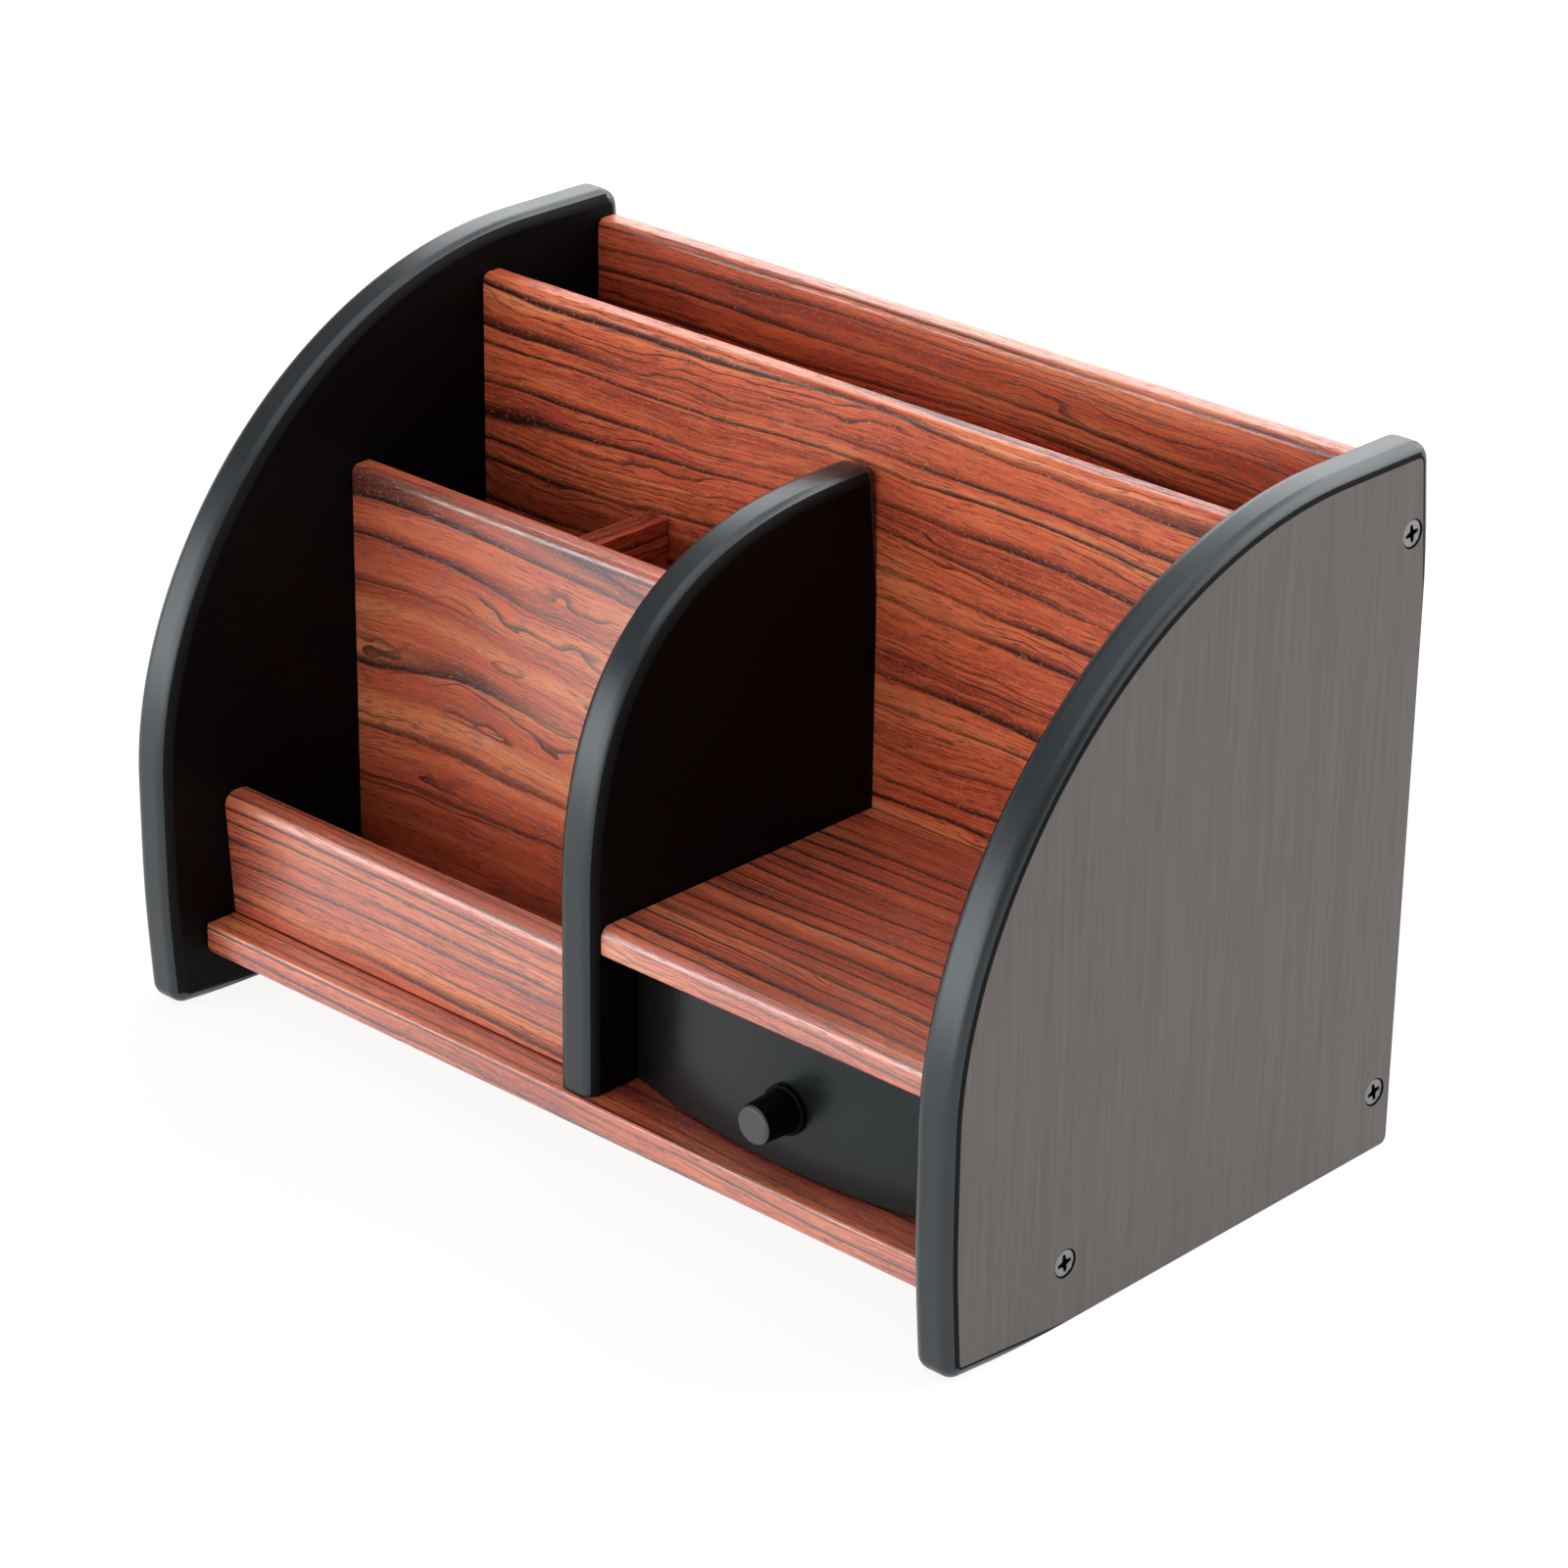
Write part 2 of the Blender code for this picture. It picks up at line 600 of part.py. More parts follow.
def build_case_screws(shop):
    """Countersunk screws through the side panels and up through the base board."""
    shape = wood_screw_mesh()
    base_height = between(BASE_LIFT, BASE_TOP, END_SCREW_SHARE)
    rear = depth_at(between(BACK_RECESS, BACK_FRONT, REAR_SCREW_SHARE))
    front = depth_at(BASE_FRONT - FRONT_SCREW_INSET)
    places = (("top", "back_board", rear, BACK_BOARD_TOP - TOP_SCREW_DROP),
              ("rear", "base_board", rear, base_height),
              ("front", "base_board", front, base_height))
    for side, face, way in (("left", LEFT_OUTER, -1), ("right", RIGHT_OUTER, 1)):
        for spot, inner, y, z in places:
            wood_screw(shop, f"{side}_panel_screw_{spot}", shape, f"{side}_side_panel", inner,
                       PANEL_THICKNESS, (face, y, z), AXIS_X * way)
    middle = (DIVIDER_LEFT + DIVIDER_RIGHT) / 2
    main_y = depth_at((MAIN_FRONT + MAIN_BACK) / 2)
    for number, share in enumerate(BASE_SCREW_SHARES, 1):
        face = (middle, depth_at(between(MAIN_FRONT, DIVIDER_FRONT, share)), BASE_LIFT)
        wood_screw(shop, f"centre_divider_screw_{number}", shape, "base_board", "centre_divider",
                   BASE_THICKNESS, face, -AXIS_Z)
        face = (between(LEFT_INNER, RIGHT_INNER, share), main_y, BASE_LIFT)
        wood_screw(shop, f"main_divider_screw_{number}", shape, "base_board", "main_divider_board",
                   BASE_THICKNESS, face, -AXIS_Z)


def end_dowels(shop, stem, board_name, left_piece, right_piece, ends, places):
    """Dowels from both ends of a board into the pieces at its left and right."""
    bites = (DOWEL_BOARD_BITE, DOWEL_PANEL_BITE_SHARE * PANEL_THICKNESS)
    for number, (y, z) in enumerate(places, 1):
        dowel(shop, f"{stem}_left_dowel_{number}", board_name, left_piece, (ends[0], y, z), -AXIS_X, bites)
        dowel(shop, f"{stem}_right_dowel_{number}", board_name, right_piece, (ends[1], y, z), AXIS_X, bites)


def build_case_dowels(shop):
    """Dowels that tie the boards to the panels and to each other."""
    main_y = depth_at((MAIN_FRONT + MAIN_BACK) / 2)
    places = [(main_y, between(SEAT, MAIN_TOP, share)) for share in PAIR_SHARES]
    ends = (LEFT_INNER, RIGHT_INNER)
    end_dowels(shop, "main_divider", "main_divider_board", "left_side_panel", "right_side_panel",
               ends, places)
    pen_y = depth_at((PEN_FRONT + PEN_BACK) / 2)
    places = [(pen_y, between(SEAT, PEN_DIVIDER_TOP, share)) for share in PAIR_SHARES]
    ends = (LEFT_INNER, DIVIDER_LEFT)
    end_dowels(shop, "pen_divider", "pen_divider_board", "left_side_panel", "centre_divider", ends, places)
    fence_y = depth_at((FENCE_FRONT + FENCE_BACK) / 2)
    places = [(fence_y - FENCE_LEAN * share, between(SEAT, FENCE_TOP, share))
              for share in FENCE_PAIR_SHARES]
    end_dowels(shop, "fence", "front_fence", "left_side_panel", "centre_divider", ends, places)
    shelf_z = (SHELF_BOTTOM + SHELF_TOP) / 2
    places = [(depth_at(between(MAIN_FRONT, SHELF_FRONT, share)), shelf_z) for share in PAIR_SHARES]
    ends = (DIVIDER_RIGHT, RIGHT_INNER)
    end_dowels(shop, "shelf", "drawer_shelf", "centre_divider", "right_side_panel", ends, places)
    bites = (DOWEL_BOARD_BITE, DOWEL_FACE_BITE_SHARE * BOARD_THICKNESS)
    x = (PARTITION_LEFT + PARTITION_RIGHT) / 2
    for number, share in enumerate(PAIR_SHARES, 1):
        z = between(SEAT, PARTITION_TOP, share)
        dowel(shop, f"partition_front_dowel_{number}", "pen_partition", "pen_divider_board",
              (x, depth_at(PEN_BACK), z), -AXIS_Y, bites)
        dowel(shop, f"partition_rear_dowel_{number}", "pen_partition", "main_divider_board",
              (x, depth_at(MAIN_FRONT), z), AXIS_Y, bites)
    bites = (DOWEL_BOARD_BITE, DOWEL_FACE_BITE_SHARE * BASE_THICKNESS)
    back_y = depth_at((BACK_FRONT + BACK_RECESS) / 2)
    for number, share in enumerate(PAIR_SHARES, 1):
        dowel(shop, f"back_board_dowel_{number}", "back_board", "base_board",
              (between(LEFT_INNER, RIGHT_INNER, share), back_y, BASE_TOP), -AXIS_Z, bites)


def drawer_front_outline():
    """Outline of the drawer front in (X, Y): flat behind, bowed in front by one arc."""
    half = (DRAWER_RIGHT - DRAWER_LEFT) / 2
    radius = (half * half + DRAWER_BOW * DRAWER_BOW) / (2 * DRAWER_BOW)
    sweep = math.asin(half / radius)
    centre = (DRAWER_MIDDLE, depth_at(DRAWER_NOSE) + radius)
    down = -math.pi / 2
    points = arc(centre, radius, down - sweep, down + sweep, BOW_STEPS)
    back = depth_at(DRAWER_FRONT_BACK)
    return points + [(DRAWER_RIGHT, back), (DRAWER_LEFT, back)]


def build_drawer_front(shop):
    """Front of the drawer, bowed forward, with its bow's arrises eased."""
    mesh = outline_mesh("drawer_front", drawer_front_outline(), DRAWER_RIM - DRAWER_FLOOR)
    mesh.transform(Matrix.Translation((0, 0, (DRAWER_RIM + DRAWER_FLOOR) / 2)))
    front = shop.piece("drawer_front", mesh, shop.black)
    face = depth_at(DRAWER_FRONT_BACK)
    half = (DRAWER_RIGHT - DRAWER_LEFT) / 2

    def on_bow(middle, direction):
        return middle.y < face - PLACE_TOLERANCE and abs(middle.x - DRAWER_MIDDLE) < half - PLACE_TOLERANCE

    round_edges(front, DRAWER_EDGE_ROUND, on_bow)
    return front


def build_drawer_box(shop):
    """Sides, back and the bottom that is let into grooves in the front, sides and back."""
    face, rear = depth_at(DRAWER_FRONT_BACK), depth_at(DRAWER_REAR)
    inner_left = DRAWER_LEFT + DRAWER_SIDE_THICKNESS
    inner_right = DRAWER_RIGHT - DRAWER_SIDE_THICKNESS
    rear_face = rear - DRAWER_SIDE_THICKNESS
    rim = DRAWER_RIM - DRAWER_SIDE_DROP
    rear_rim = DRAWER_RIM - DRAWER_REAR_DROP
    side_front = face + FIT_GAP
    back_left, back_right = inner_left + FIT_GAP, inner_right - FIT_GAP
    boards = (
        ("drawer_left_side", (DRAWER_LEFT, side_front, DRAWER_FLOOR), (inner_left, rear, rim)),
        ("drawer_right_side", (inner_right, side_front, DRAWER_FLOOR), (DRAWER_RIGHT, rear, rim)),
        ("drawer_back", (back_left, rear_face, DRAWER_FLOOR), (back_right, rear, rear_rim)),
    )
    pieces = [board(shop, name, low, high, shop.black) for name, low, high in boards]
    groove = DRAWER_GROOVE_DEPTH
    under = DRAWER_FLOOR + DRAWER_BOTTOM_LIFT
    above = under + DRAWER_BOTTOM_THICKNESS
    low = Vector((inner_left - groove, face - groove, under))
    high = Vector((inner_right + groove, rear_face + groove, above))
    pieces.append(board(shop, "drawer_bottom", low, high, shop.black))
    slack = Vector((FIT_GAP, FIT_GAP, FIT_GAP))
    slot = box_mesh("groove", low - slack, high + slack)
    for name in ("drawer_front", "drawer_left_side", "drawer_right_side", "drawer_back"):
        shop.cut(name, slot)
    into_front = (DRAWER_DOWEL_BITE, DRAWER_DOWEL_FRONT_BITE)
    into_side = (DRAWER_DOWEL_BITE, DOWEL_FACE_BITE_SHARE * DRAWER_SIDE_THICKNESS)
    half = DRAWER_SIDE_THICKNESS / 2
    sides = (("left", DRAWER_LEFT + half, inner_left, -1), ("right", DRAWER_RIGHT - half, inner_right, 1))
    for number, share in enumerate(PAIR_SHARES, 1):
        z = between(above, rear_rim, share)
        for side, x, inner, way in sides:
            pieces.append(dowel(shop, f"drawer_front_{side}_dowel_{number}", f"drawer_{side}_side",
                                "drawer_front", (x, face, z), -AXIS_Y, into_front, DRAWER_DOWEL_DIAMETER))
            pieces.append(dowel(shop, f"drawer_back_{side}_dowel_{number}", "drawer_back",
                                f"drawer_{side}_side", (inner, rear - half, z), AXIS_X * way, into_side,
                                DRAWER_DOWEL_DIAMETER))
    return pieces


def build_knob(shop):
    """Turned knob with a low collar, at the middle of the bow, and the screw that holds it."""
    foot, cap = KNOB_FOOT_DIAMETER / 2, KNOB_TIP_DIAMETER / 2
    shoulder, collar = cap - KNOB_TIP_CHAMFER, KNOB_COLLAR_DIAMETER / 2
    ease = KNOB_COLLAR_ROUND
    centre = (collar - ease, KNOB_COLLAR_HEIGHT - ease)
    rim = arc(centre, ease, math.pi / 2, 0.0, ROUND_STEPS)
    profile = [(0.0, KNOB_LENGTH), (shoulder, KNOB_LENGTH), (cap, KNOB_LENGTH - KNOB_TIP_CHAMFER),
               (foot, KNOB_COLLAR_HEIGHT)] + rim + [(collar, FIT_GAP), (0.0, FIT_GAP)]
    outward = facing(-AXIS_Y, (DRAWER_MIDDLE, depth_at(DRAWER_NOSE), KNOB_HEIGHT))
    knob = shop.piece("drawer_knob", turned_mesh("drawer_knob", profile, KNOB_STEPS), shop.black, outward)
    bore = KNOB_SCREW_DIAMETER / 2 + FIT_GAP
    wall = DRAWER_FRONT_THICKNESS + DRAWER_BOW
    deep, behind = KNOB_SCREW_BITE + FIT_GAP, -wall - CUT_OVERRUN
    hole = [(0.0, deep), (bore, deep), (bore, behind), (0.0, behind)]
    for name in ("drawer_knob", "drawer_front"):
        shop.cut(name, turned_mesh("knob_hole", hole, SCREW_STEPS), outward)
    head, shank = KNOB_SCREW_HEAD_DIAMETER / 2, KNOB_SCREW_DIAMETER / 2
    under, tall = wall + FIT_GAP, KNOB_SCREW_HEAD_HEIGHT
    quarter = [math.pi / 2 * i / CORNER_STEPS for i in range(CORNER_STEPS)]
    crown = [(head * math.sin(a), under + tall * math.cos(a)) for a in quarter]
    tip = -KNOB_SCREW_BITE
    screw_profile = crown + [(head, under), (shank, under), (shank, tip), (0.0, tip)]
    turned = with_cross(turned_mesh("knob_screw", screw_profile, SCREW_STEPS), under + tall)
    inward = outward @ Matrix.Rotation(math.pi, 4, "X")
    return [knob, shop.piece("knob_screw", turned, shop.steel, inward)]


def drawer_slide(shop):
    """Empty on the drawer's line of travel, which carries the drawer's pieces."""
    slide = bpy.data.objects.new("drawer_slide", None)
    slide.location = (DRAWER_MIDDLE, depth_at(DRAWER_NOSE), KNOB_HEIGHT)
    shop.parts.objects.link(slide)
    bpy.context.view_layer.update()
    return slide


def shade_smooth(shop):
    """Shades round faces smooth and keeps the arrises sharp."""
    for obj in shop.parts.objects:
        if obj.type == "MESH":
            obj.data.shade_smooth()
            obj.data.set_sharp_from_angle(angle=SMOOTH_ANGLE)


def main():
    """Builds the whole holder."""
    clear_scene()
    shop = Workshop()
    build_panels(shop)
    build_boards(shop)
    build_case_screws(shop)
    build_case_dowels(shop)
    slide = drawer_slide(shop)
    for obj in [build_drawer_front(shop)] + build_drawer_box(shop) + build_knob(shop):
        obj.parent = slide
        obj.matrix_parent_inverse = slide.matrix_world.inverted()
    shop.cut_all()
    shade_smooth(shop)


main()
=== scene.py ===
"""Looks of the pen holder with drawer: rosewood boards between three black arc-fronted panels.

Metres, +Z up, front towards -Y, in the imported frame. Every piece takes its place from the frame.
"""
import logging
import math
from dataclasses import dataclass, field
from enum import Enum
from typing import Any, Callable, ClassVar, Sequence

import bmesh
import bpy
from mathutils import Matrix, Vector


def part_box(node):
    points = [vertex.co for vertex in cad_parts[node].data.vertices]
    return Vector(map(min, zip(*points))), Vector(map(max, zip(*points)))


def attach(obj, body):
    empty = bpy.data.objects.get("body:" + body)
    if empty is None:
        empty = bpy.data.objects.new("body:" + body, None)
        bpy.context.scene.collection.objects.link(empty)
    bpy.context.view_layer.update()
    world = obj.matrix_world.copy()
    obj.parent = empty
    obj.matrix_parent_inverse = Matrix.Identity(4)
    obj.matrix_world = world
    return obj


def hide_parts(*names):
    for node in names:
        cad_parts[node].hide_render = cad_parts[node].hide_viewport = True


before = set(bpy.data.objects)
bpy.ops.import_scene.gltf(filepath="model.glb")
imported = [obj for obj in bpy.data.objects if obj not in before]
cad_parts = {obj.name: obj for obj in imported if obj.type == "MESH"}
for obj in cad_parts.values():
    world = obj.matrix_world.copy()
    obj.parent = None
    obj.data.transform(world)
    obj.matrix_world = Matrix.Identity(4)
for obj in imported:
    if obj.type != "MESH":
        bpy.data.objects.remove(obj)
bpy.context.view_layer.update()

LOG = logging.getLogger("pen_holder")
Colour = tuple[float, float, float]
Profile = list[tuple[float, float]]
Socket = Any

WELD = 0.000002
SHARP_ANGLE = math.radians(35)
FLAT_NORMAL = 0.999
# How far a panel's round must turn sideways before it gets the painted shade finish instead of the edge
# lacquer.
INNER_PAINTED_SHADE_NORMAL = 0.70
OUTER_PAINTED_SHADE_NORMAL = 0.90
BACK_EDGE_NORMAL = 0.12
CUT_OVERRUN = 0.001
WHITE = (1.0, 1.0, 1.0, 1.0)
BROAD_UNEVENNESS = 38.0
SOFT_BUMP = 0.4
FINE_RELIEF = 0.00001
GRAIN_RELIEF = 0.00003
VENEER_RELIEF = 0.00004


class Case(str, Enum):
    """The two bodies of the frame."""

    FIXED = "case"
    DRAWER = "drawer"


class Slot(str, Enum):
    """The record's material slots."""

    LACQUER = "black_lacquer"
    VENEER = "rosewood_veneer"
    STEEL = "zinc_steel"


class RoundedSide(Enum):
    """Which side of a board has its two long edges rounded, as (forward, up) in its section."""

    TOP = (0.0, 1.0)
    FRONT = (-1.0, 0.0)
    NOWHERE = (0.0, 0.0)


class PanelFinish(Enum):
    """Place of each finish in a side panel's material slots."""

    BAND = 0
    OUTER = 1
    INNER = 2
    # Painted shade: a darker, matter copy of the edge lacquer on the sideways-turned rounds and round the
    # screw holes, standing in for dark reflection and shade there.
    ARRIS = 3


class GrainWay(Enum):
    """Which way a board's grain runs, as the turn about Z that brings it along X."""

    ACROSS = 0.0
    FRONT_TO_BACK = -math.pi / 2


def srgb(red: int, green: int, blue: int) -> Colour:
    """Turns a colour in 0 to 255 steps into linear light.

    Args:
        red: Red step.
        green: Green step.
        blue: Blue step.

    Returns:
        The linear colour.
    """
    def linear(step: int) -> float:
        """Linear value of one channel."""
        share = step / 255
        return share / 12.92 if share <= 0.04045 else ((share + 0.055) / 1.055) ** 2.4

    return linear(red), linear(green), linear(blue)


def between(low: float, high: float, share: float) -> float:
    """Place at a share of the way from low to high."""
    return low + share * (high - low)


@dataclass
class Wiring:
    """Adds nodes to one tree and joins them.

    Args:
        tree: The node tree that is wired.
    """

    tree: bpy.types.NodeTree

    def node(self, kind: str, inputs: dict[Any, Any] | None = None, **settings: Any) -> bpy.types.Node:
        """Adds a node.

        Args:
            kind: The node's type name.
            inputs: Values or sockets for its inputs, by name or number.
            settings: Properties of the node.

        Returns:
            The new node.
        """
        made = self.tree.nodes.new(kind)
        for name, value in settings.items():
            setattr(made, name, value)
        for name, value in (inputs or {}).items():
            self.feed(made.inputs[name], value)
        return made

    def out(self, kind: str, inputs: dict[Any, Any] | None = None, **settings: Any) -> Socket:
        """First output of a new node."""
        return self.node(kind, inputs, **settings).outputs[0]

    def feed(self, socket: Socket, value: Any) -> None:
        """Joins a socket to an input, or sets the input to a plain value.

        Args:
            socket: The input.
            value: An output socket, number, colour or vector.
        """
        if isinstance(value, bpy.types.NodeSocket):
            self.tree.links.new(value, socket)
        else:
            socket.default_value = value

    def math(self, operation: str, first: Any, second: Any = 0.0, clamp: bool = False) -> Socket:
        """Result of a Math node, from 0 to 1 where clamp is set."""
        return self.out("ShaderNodeMath", {0: first, 1: second}, operation=operation, use_clamp=clamp)

    def plus(self, first: Any, second: Any) -> Socket:
        """Sum of two values."""
        return self.math("ADD", first, second)

    def minus(self, first: Any, second: Any) -> Socket:
        """Difference of two values."""
        return self.math("SUBTRACT", first, second)

    def times(self, first: Any, second: Any) -> Socket:
        """Product of two values."""
        return self.math("MULTIPLY", first, second)

    def stretched(self, place: Socket, scale: tuple[float, float, float]) -> Socket:
        """Place multiplied axis by axis."""
        return self.out("ShaderNodeVectorMath", {0: place, 1: scale}, operation="MULTIPLY")

    def point(self, x: Any, y: Any, z: Any = 0.0) -> Socket:
        """Vector put together from three values."""
        return self.out("ShaderNodeCombineXYZ", {0: x, 1: y, 2: z})

    def noise(self, place: Socket, detail: float = 2.0, roughness: float = 0.5) -> Socket:
        """Noise of size 1 from 0 to 1, about 0.5, read at a place that is already scaled."""
        return self.out("ShaderNodeTexNoise", {
            "Vector": place, "Scale": 1.0, "Detail": detail, "Roughness": roughness}, noise_dimensions="3D")

    def span(self, value: Socket, low: Any, high: Any, to_low: Any = 0.0, to_high: Any = 1.0,
             smooth: bool = False) -> Socket:
        """Maps a value from one range to another, clamped and, where smooth is set, eased."""
        return self.out("ShaderNodeMapRange", {0: value, 1: low, 2: high, 3: to_low, 4: to_high},
                        interpolation_type="SMOOTHSTEP" if smooth else "LINEAR", clamp=True)

    def mix(self, share: Any, first: Any, second: Any) -> Socket:
        """Colour mixed from two.

        Args:
            share: Share of the second.
            first: First colour or socket.
            second: Second colour or socket.

        Returns:
            The colour's socket.
        """
        made = self.node("ShaderNodeMix", {0: share}, data_type="RGBA")
        for place, colour in ((6, first), (7, second)):
            plain = not isinstance(colour, bpy.types.NodeSocket)
            self.feed(made.inputs[place], (*colour, 1.0) if plain else colour)
        return made.outputs[2]


@dataclass
class Effect:
    """A shader node group that more than one material uses.

    Args:
        name: The group's name.
        numbers: Its number inputs and their usual values.
        colours: Its colour inputs and their usual values.
        outputs: The outputs of every effect and their socket types.
    """

    name: str
    numbers: dict[str, float]
    colours: dict[str, Colour]
    outputs: ClassVar[dict[str, str]] = {
        "Colour": "NodeSocketColor", "Roughness": "NodeSocketFloat", "Height": "NodeSocketFloat"}

    def tree(self, draw: Callable[[Wiring, dict[str, Socket]], dict[str, Socket]]) -> bpy.types.NodeTree:
        """Builds the group once.

        Args:
            draw: Makes the outputs from the inputs.

        Returns:
            The group's tree.
        """
        found = bpy.data.node_groups.get(self.name)
        if found:
            return found
        tree = bpy.data.node_groups.new(self.name, "ShaderNodeTree")
        tree.interface.new_socket(name="Vector", in_out="INPUT", socket_type="NodeSocketVector")
        for name, value in self.numbers.items():
            made = tree.interface.new_socket(name=name, in_out="INPUT", socket_type="NodeSocketFloat")
            made.default_value = value
        for name, colour in self.colours.items():
            made = tree.interface.new_socket(name=name, in_out="INPUT", socket_type="NodeSocketColor")
            made.default_value = (*colour, 1.0)
        for name, kind in self.outputs.items():
            tree.interface.new_socket(name=name, in_out="OUTPUT", socket_type=kind)
        wiring = Wiring(tree)
        given = wiring.node("NodeGroupInput")
        taken = wiring.node("NodeGroupOutput")
        sockets = {socket.name: socket for socket in given.outputs if socket.name}
        for name, socket in draw(wiring, sockets).items():
            wiring.feed(taken.inputs[name], socket)
        return tree


ROSEWOOD_FIGURE = Effect(
    name="rosewood_figure",
    numbers={"Line Spacing": 0.008, "Waviness": 0.004, "Swirl": 0.0,
             "Arch Height": 0.0, "Arch Middle": 0.0, "Polish": 0.0},
    colours={"Light": srgb(246, 150, 98), "Middle": srgb(216, 98, 62), "Deep": srgb(150, 48, 32),
             "Line": srgb(40, 8, 9)},
)


@dataclass(frozen=True)
class Streak:
    """Noise drawn out along the grain.

    Args:
        along: How often it changes in a metre along the grain.
        across: How often it changes in a metre across the grain.
        layer: Which layer of the noise it shows.
        detail: Number of finer layers.
        roughness: Strength of the finer layers.
    """

    along: float
    across: float
    layer: float
    detail: float = 1.0
    roughness: float = 0.5

    def draw(self, wiring: Wiring, along: Socket, across: Socket) -> Socket:
        """Its value, from 0 to 1, at a place given along and across the grain."""
        place = wiring.point(wiring.times(along, self.along), wiring.times(across, self.across), self.layer)
        return wiring.noise(place, self.detail, self.roughness)


SLOW_SWAY = Streak(9.0, 26.0, 3.1)
QUICK_SHAKE = Streak(42.0, 90.0, 7.7, 2.0)
CURL = Streak(14.0, 34.0, 1.3, 0.0)
RING_JITTER = Streak(3.0, 95.0, 5.2)
LINE_WEIGHT = Streak(11.0, 3.37, 9.0)
HAIR_SHARE = Streak(24.0, 110.0, 12.5)
TONE_STRIPE = Streak(5.0, 150.0, 2.2, 3.0, 0.6)
TONE_CLOUD = Streak(16.0, 40.0, 4.4, 2.0)
FIBRE = Streak(70.0, 1700.0, 6.1, 2.0, 0.65)
PORE = Streak(210.0, 2600.0, 8.8)
GRIT = Streak(1100.0, 2600.0, 3.3)
ARCH_SHARPNESS = 26.0
SWAY_REACH = 3.0
SHAKE_REACH = 0.55
JITTER_REACH = 2.2
FAINTEST_LINE = 0.40
NARROWEST_LINE = 0.08
WIDEST_LINE = 0.30
LEAD_START = 0.95
CORE_FALL = 0.6
HALO_FALL = 3.5
HALO_STRENGTH = 0.38
HAIRS_PER_RING = 3.3
HAIR_SHAKE = 2.5
HAIR_WIDTH = 0.30
HAIR_STRENGTH = 0.88
STRIPE_SHARE = 0.65
CLOUD_SHARE = 0.35
PORE_DARKNESS = 0.60
PORE_ROUGHNESS = 0.15
FIBRE_HEIGHT = 0.25


def draw_growth_lines(wiring: Wiring, given: dict[str, Socket], along: Socket,
                      across: Socket) -> tuple[Socket, Socket]:
    """Dark lines of the rings, each with a halo on one side, and thin hairs between them.

    Args:
        wiring: The group's wiring.
        given: The group's inputs.
        along: Place along the grain.
        across: Place across the grain.

    Returns:
        The place across the swaying grain, and the strength of the lines.
    """
    quick = QUICK_SHAKE.draw(wiring, along, across)
    sway = wiring.times(wiring.minus(SLOW_SWAY.draw(wiring, along, across), 0.5), SWAY_REACH)
    shake = wiring.times(wiring.minus(quick, 0.5), SHAKE_REACH)
    level = wiring.plus(across, wiring.times(wiring.plus(sway, shake), given["Waviness"]))
    curl = wiring.times(wiring.minus(CURL.draw(wiring, along, across), 0.5), given["Swirl"])
    jitter = wiring.times(wiring.minus(RING_JITTER.draw(wiring, along, level), 0.5), JITTER_REACH)
    count = wiring.plus(wiring.plus(wiring.math("DIVIDE", level, given["Line Spacing"]), jitter), curl)
    step = wiring.math("FRACT", count)
    weight = LINE_WEIGHT.draw(wiring, along, wiring.math("FLOOR", count))
    weight = wiring.span(weight, 0.36, 0.54, FAINTEST_LINE, 1.0)
    width = wiring.span(weight, 0.0, 1.0, NARROWEST_LINE, WIDEST_LINE)
    core = wiring.minus(1.0, wiring.span(step, 0.0, width, 0.0, 1.0, True))
    lead = wiring.span(step, LEAD_START, 1.0, 0.0, 1.0, True)
    core = wiring.math("POWER", wiring.math("MAXIMUM", core, lead), CORE_FALL)
    halo = wiring.times(wiring.math("POWER", wiring.minus(1.0, step), HALO_FALL), HALO_STRENGTH)
    line = wiring.math("MAXIMUM", wiring.times(core, weight), wiring.times(halo, weight))
    finer = wiring.plus(wiring.times(count, HAIRS_PER_RING), wiring.times(quick, HAIR_SHAKE))
    hair = wiring.minus(1.0, wiring.span(wiring.math("FRACT", finer), 0.0, HAIR_WIDTH, 0.0, 1.0, True))
    share = wiring.span(HAIR_SHARE.draw(wiring, along, level), 0.44, 0.57, 0.0, HAIR_STRENGTH)
    return level, wiring.math("MAXIMUM", line, wiring.times(hair, share))


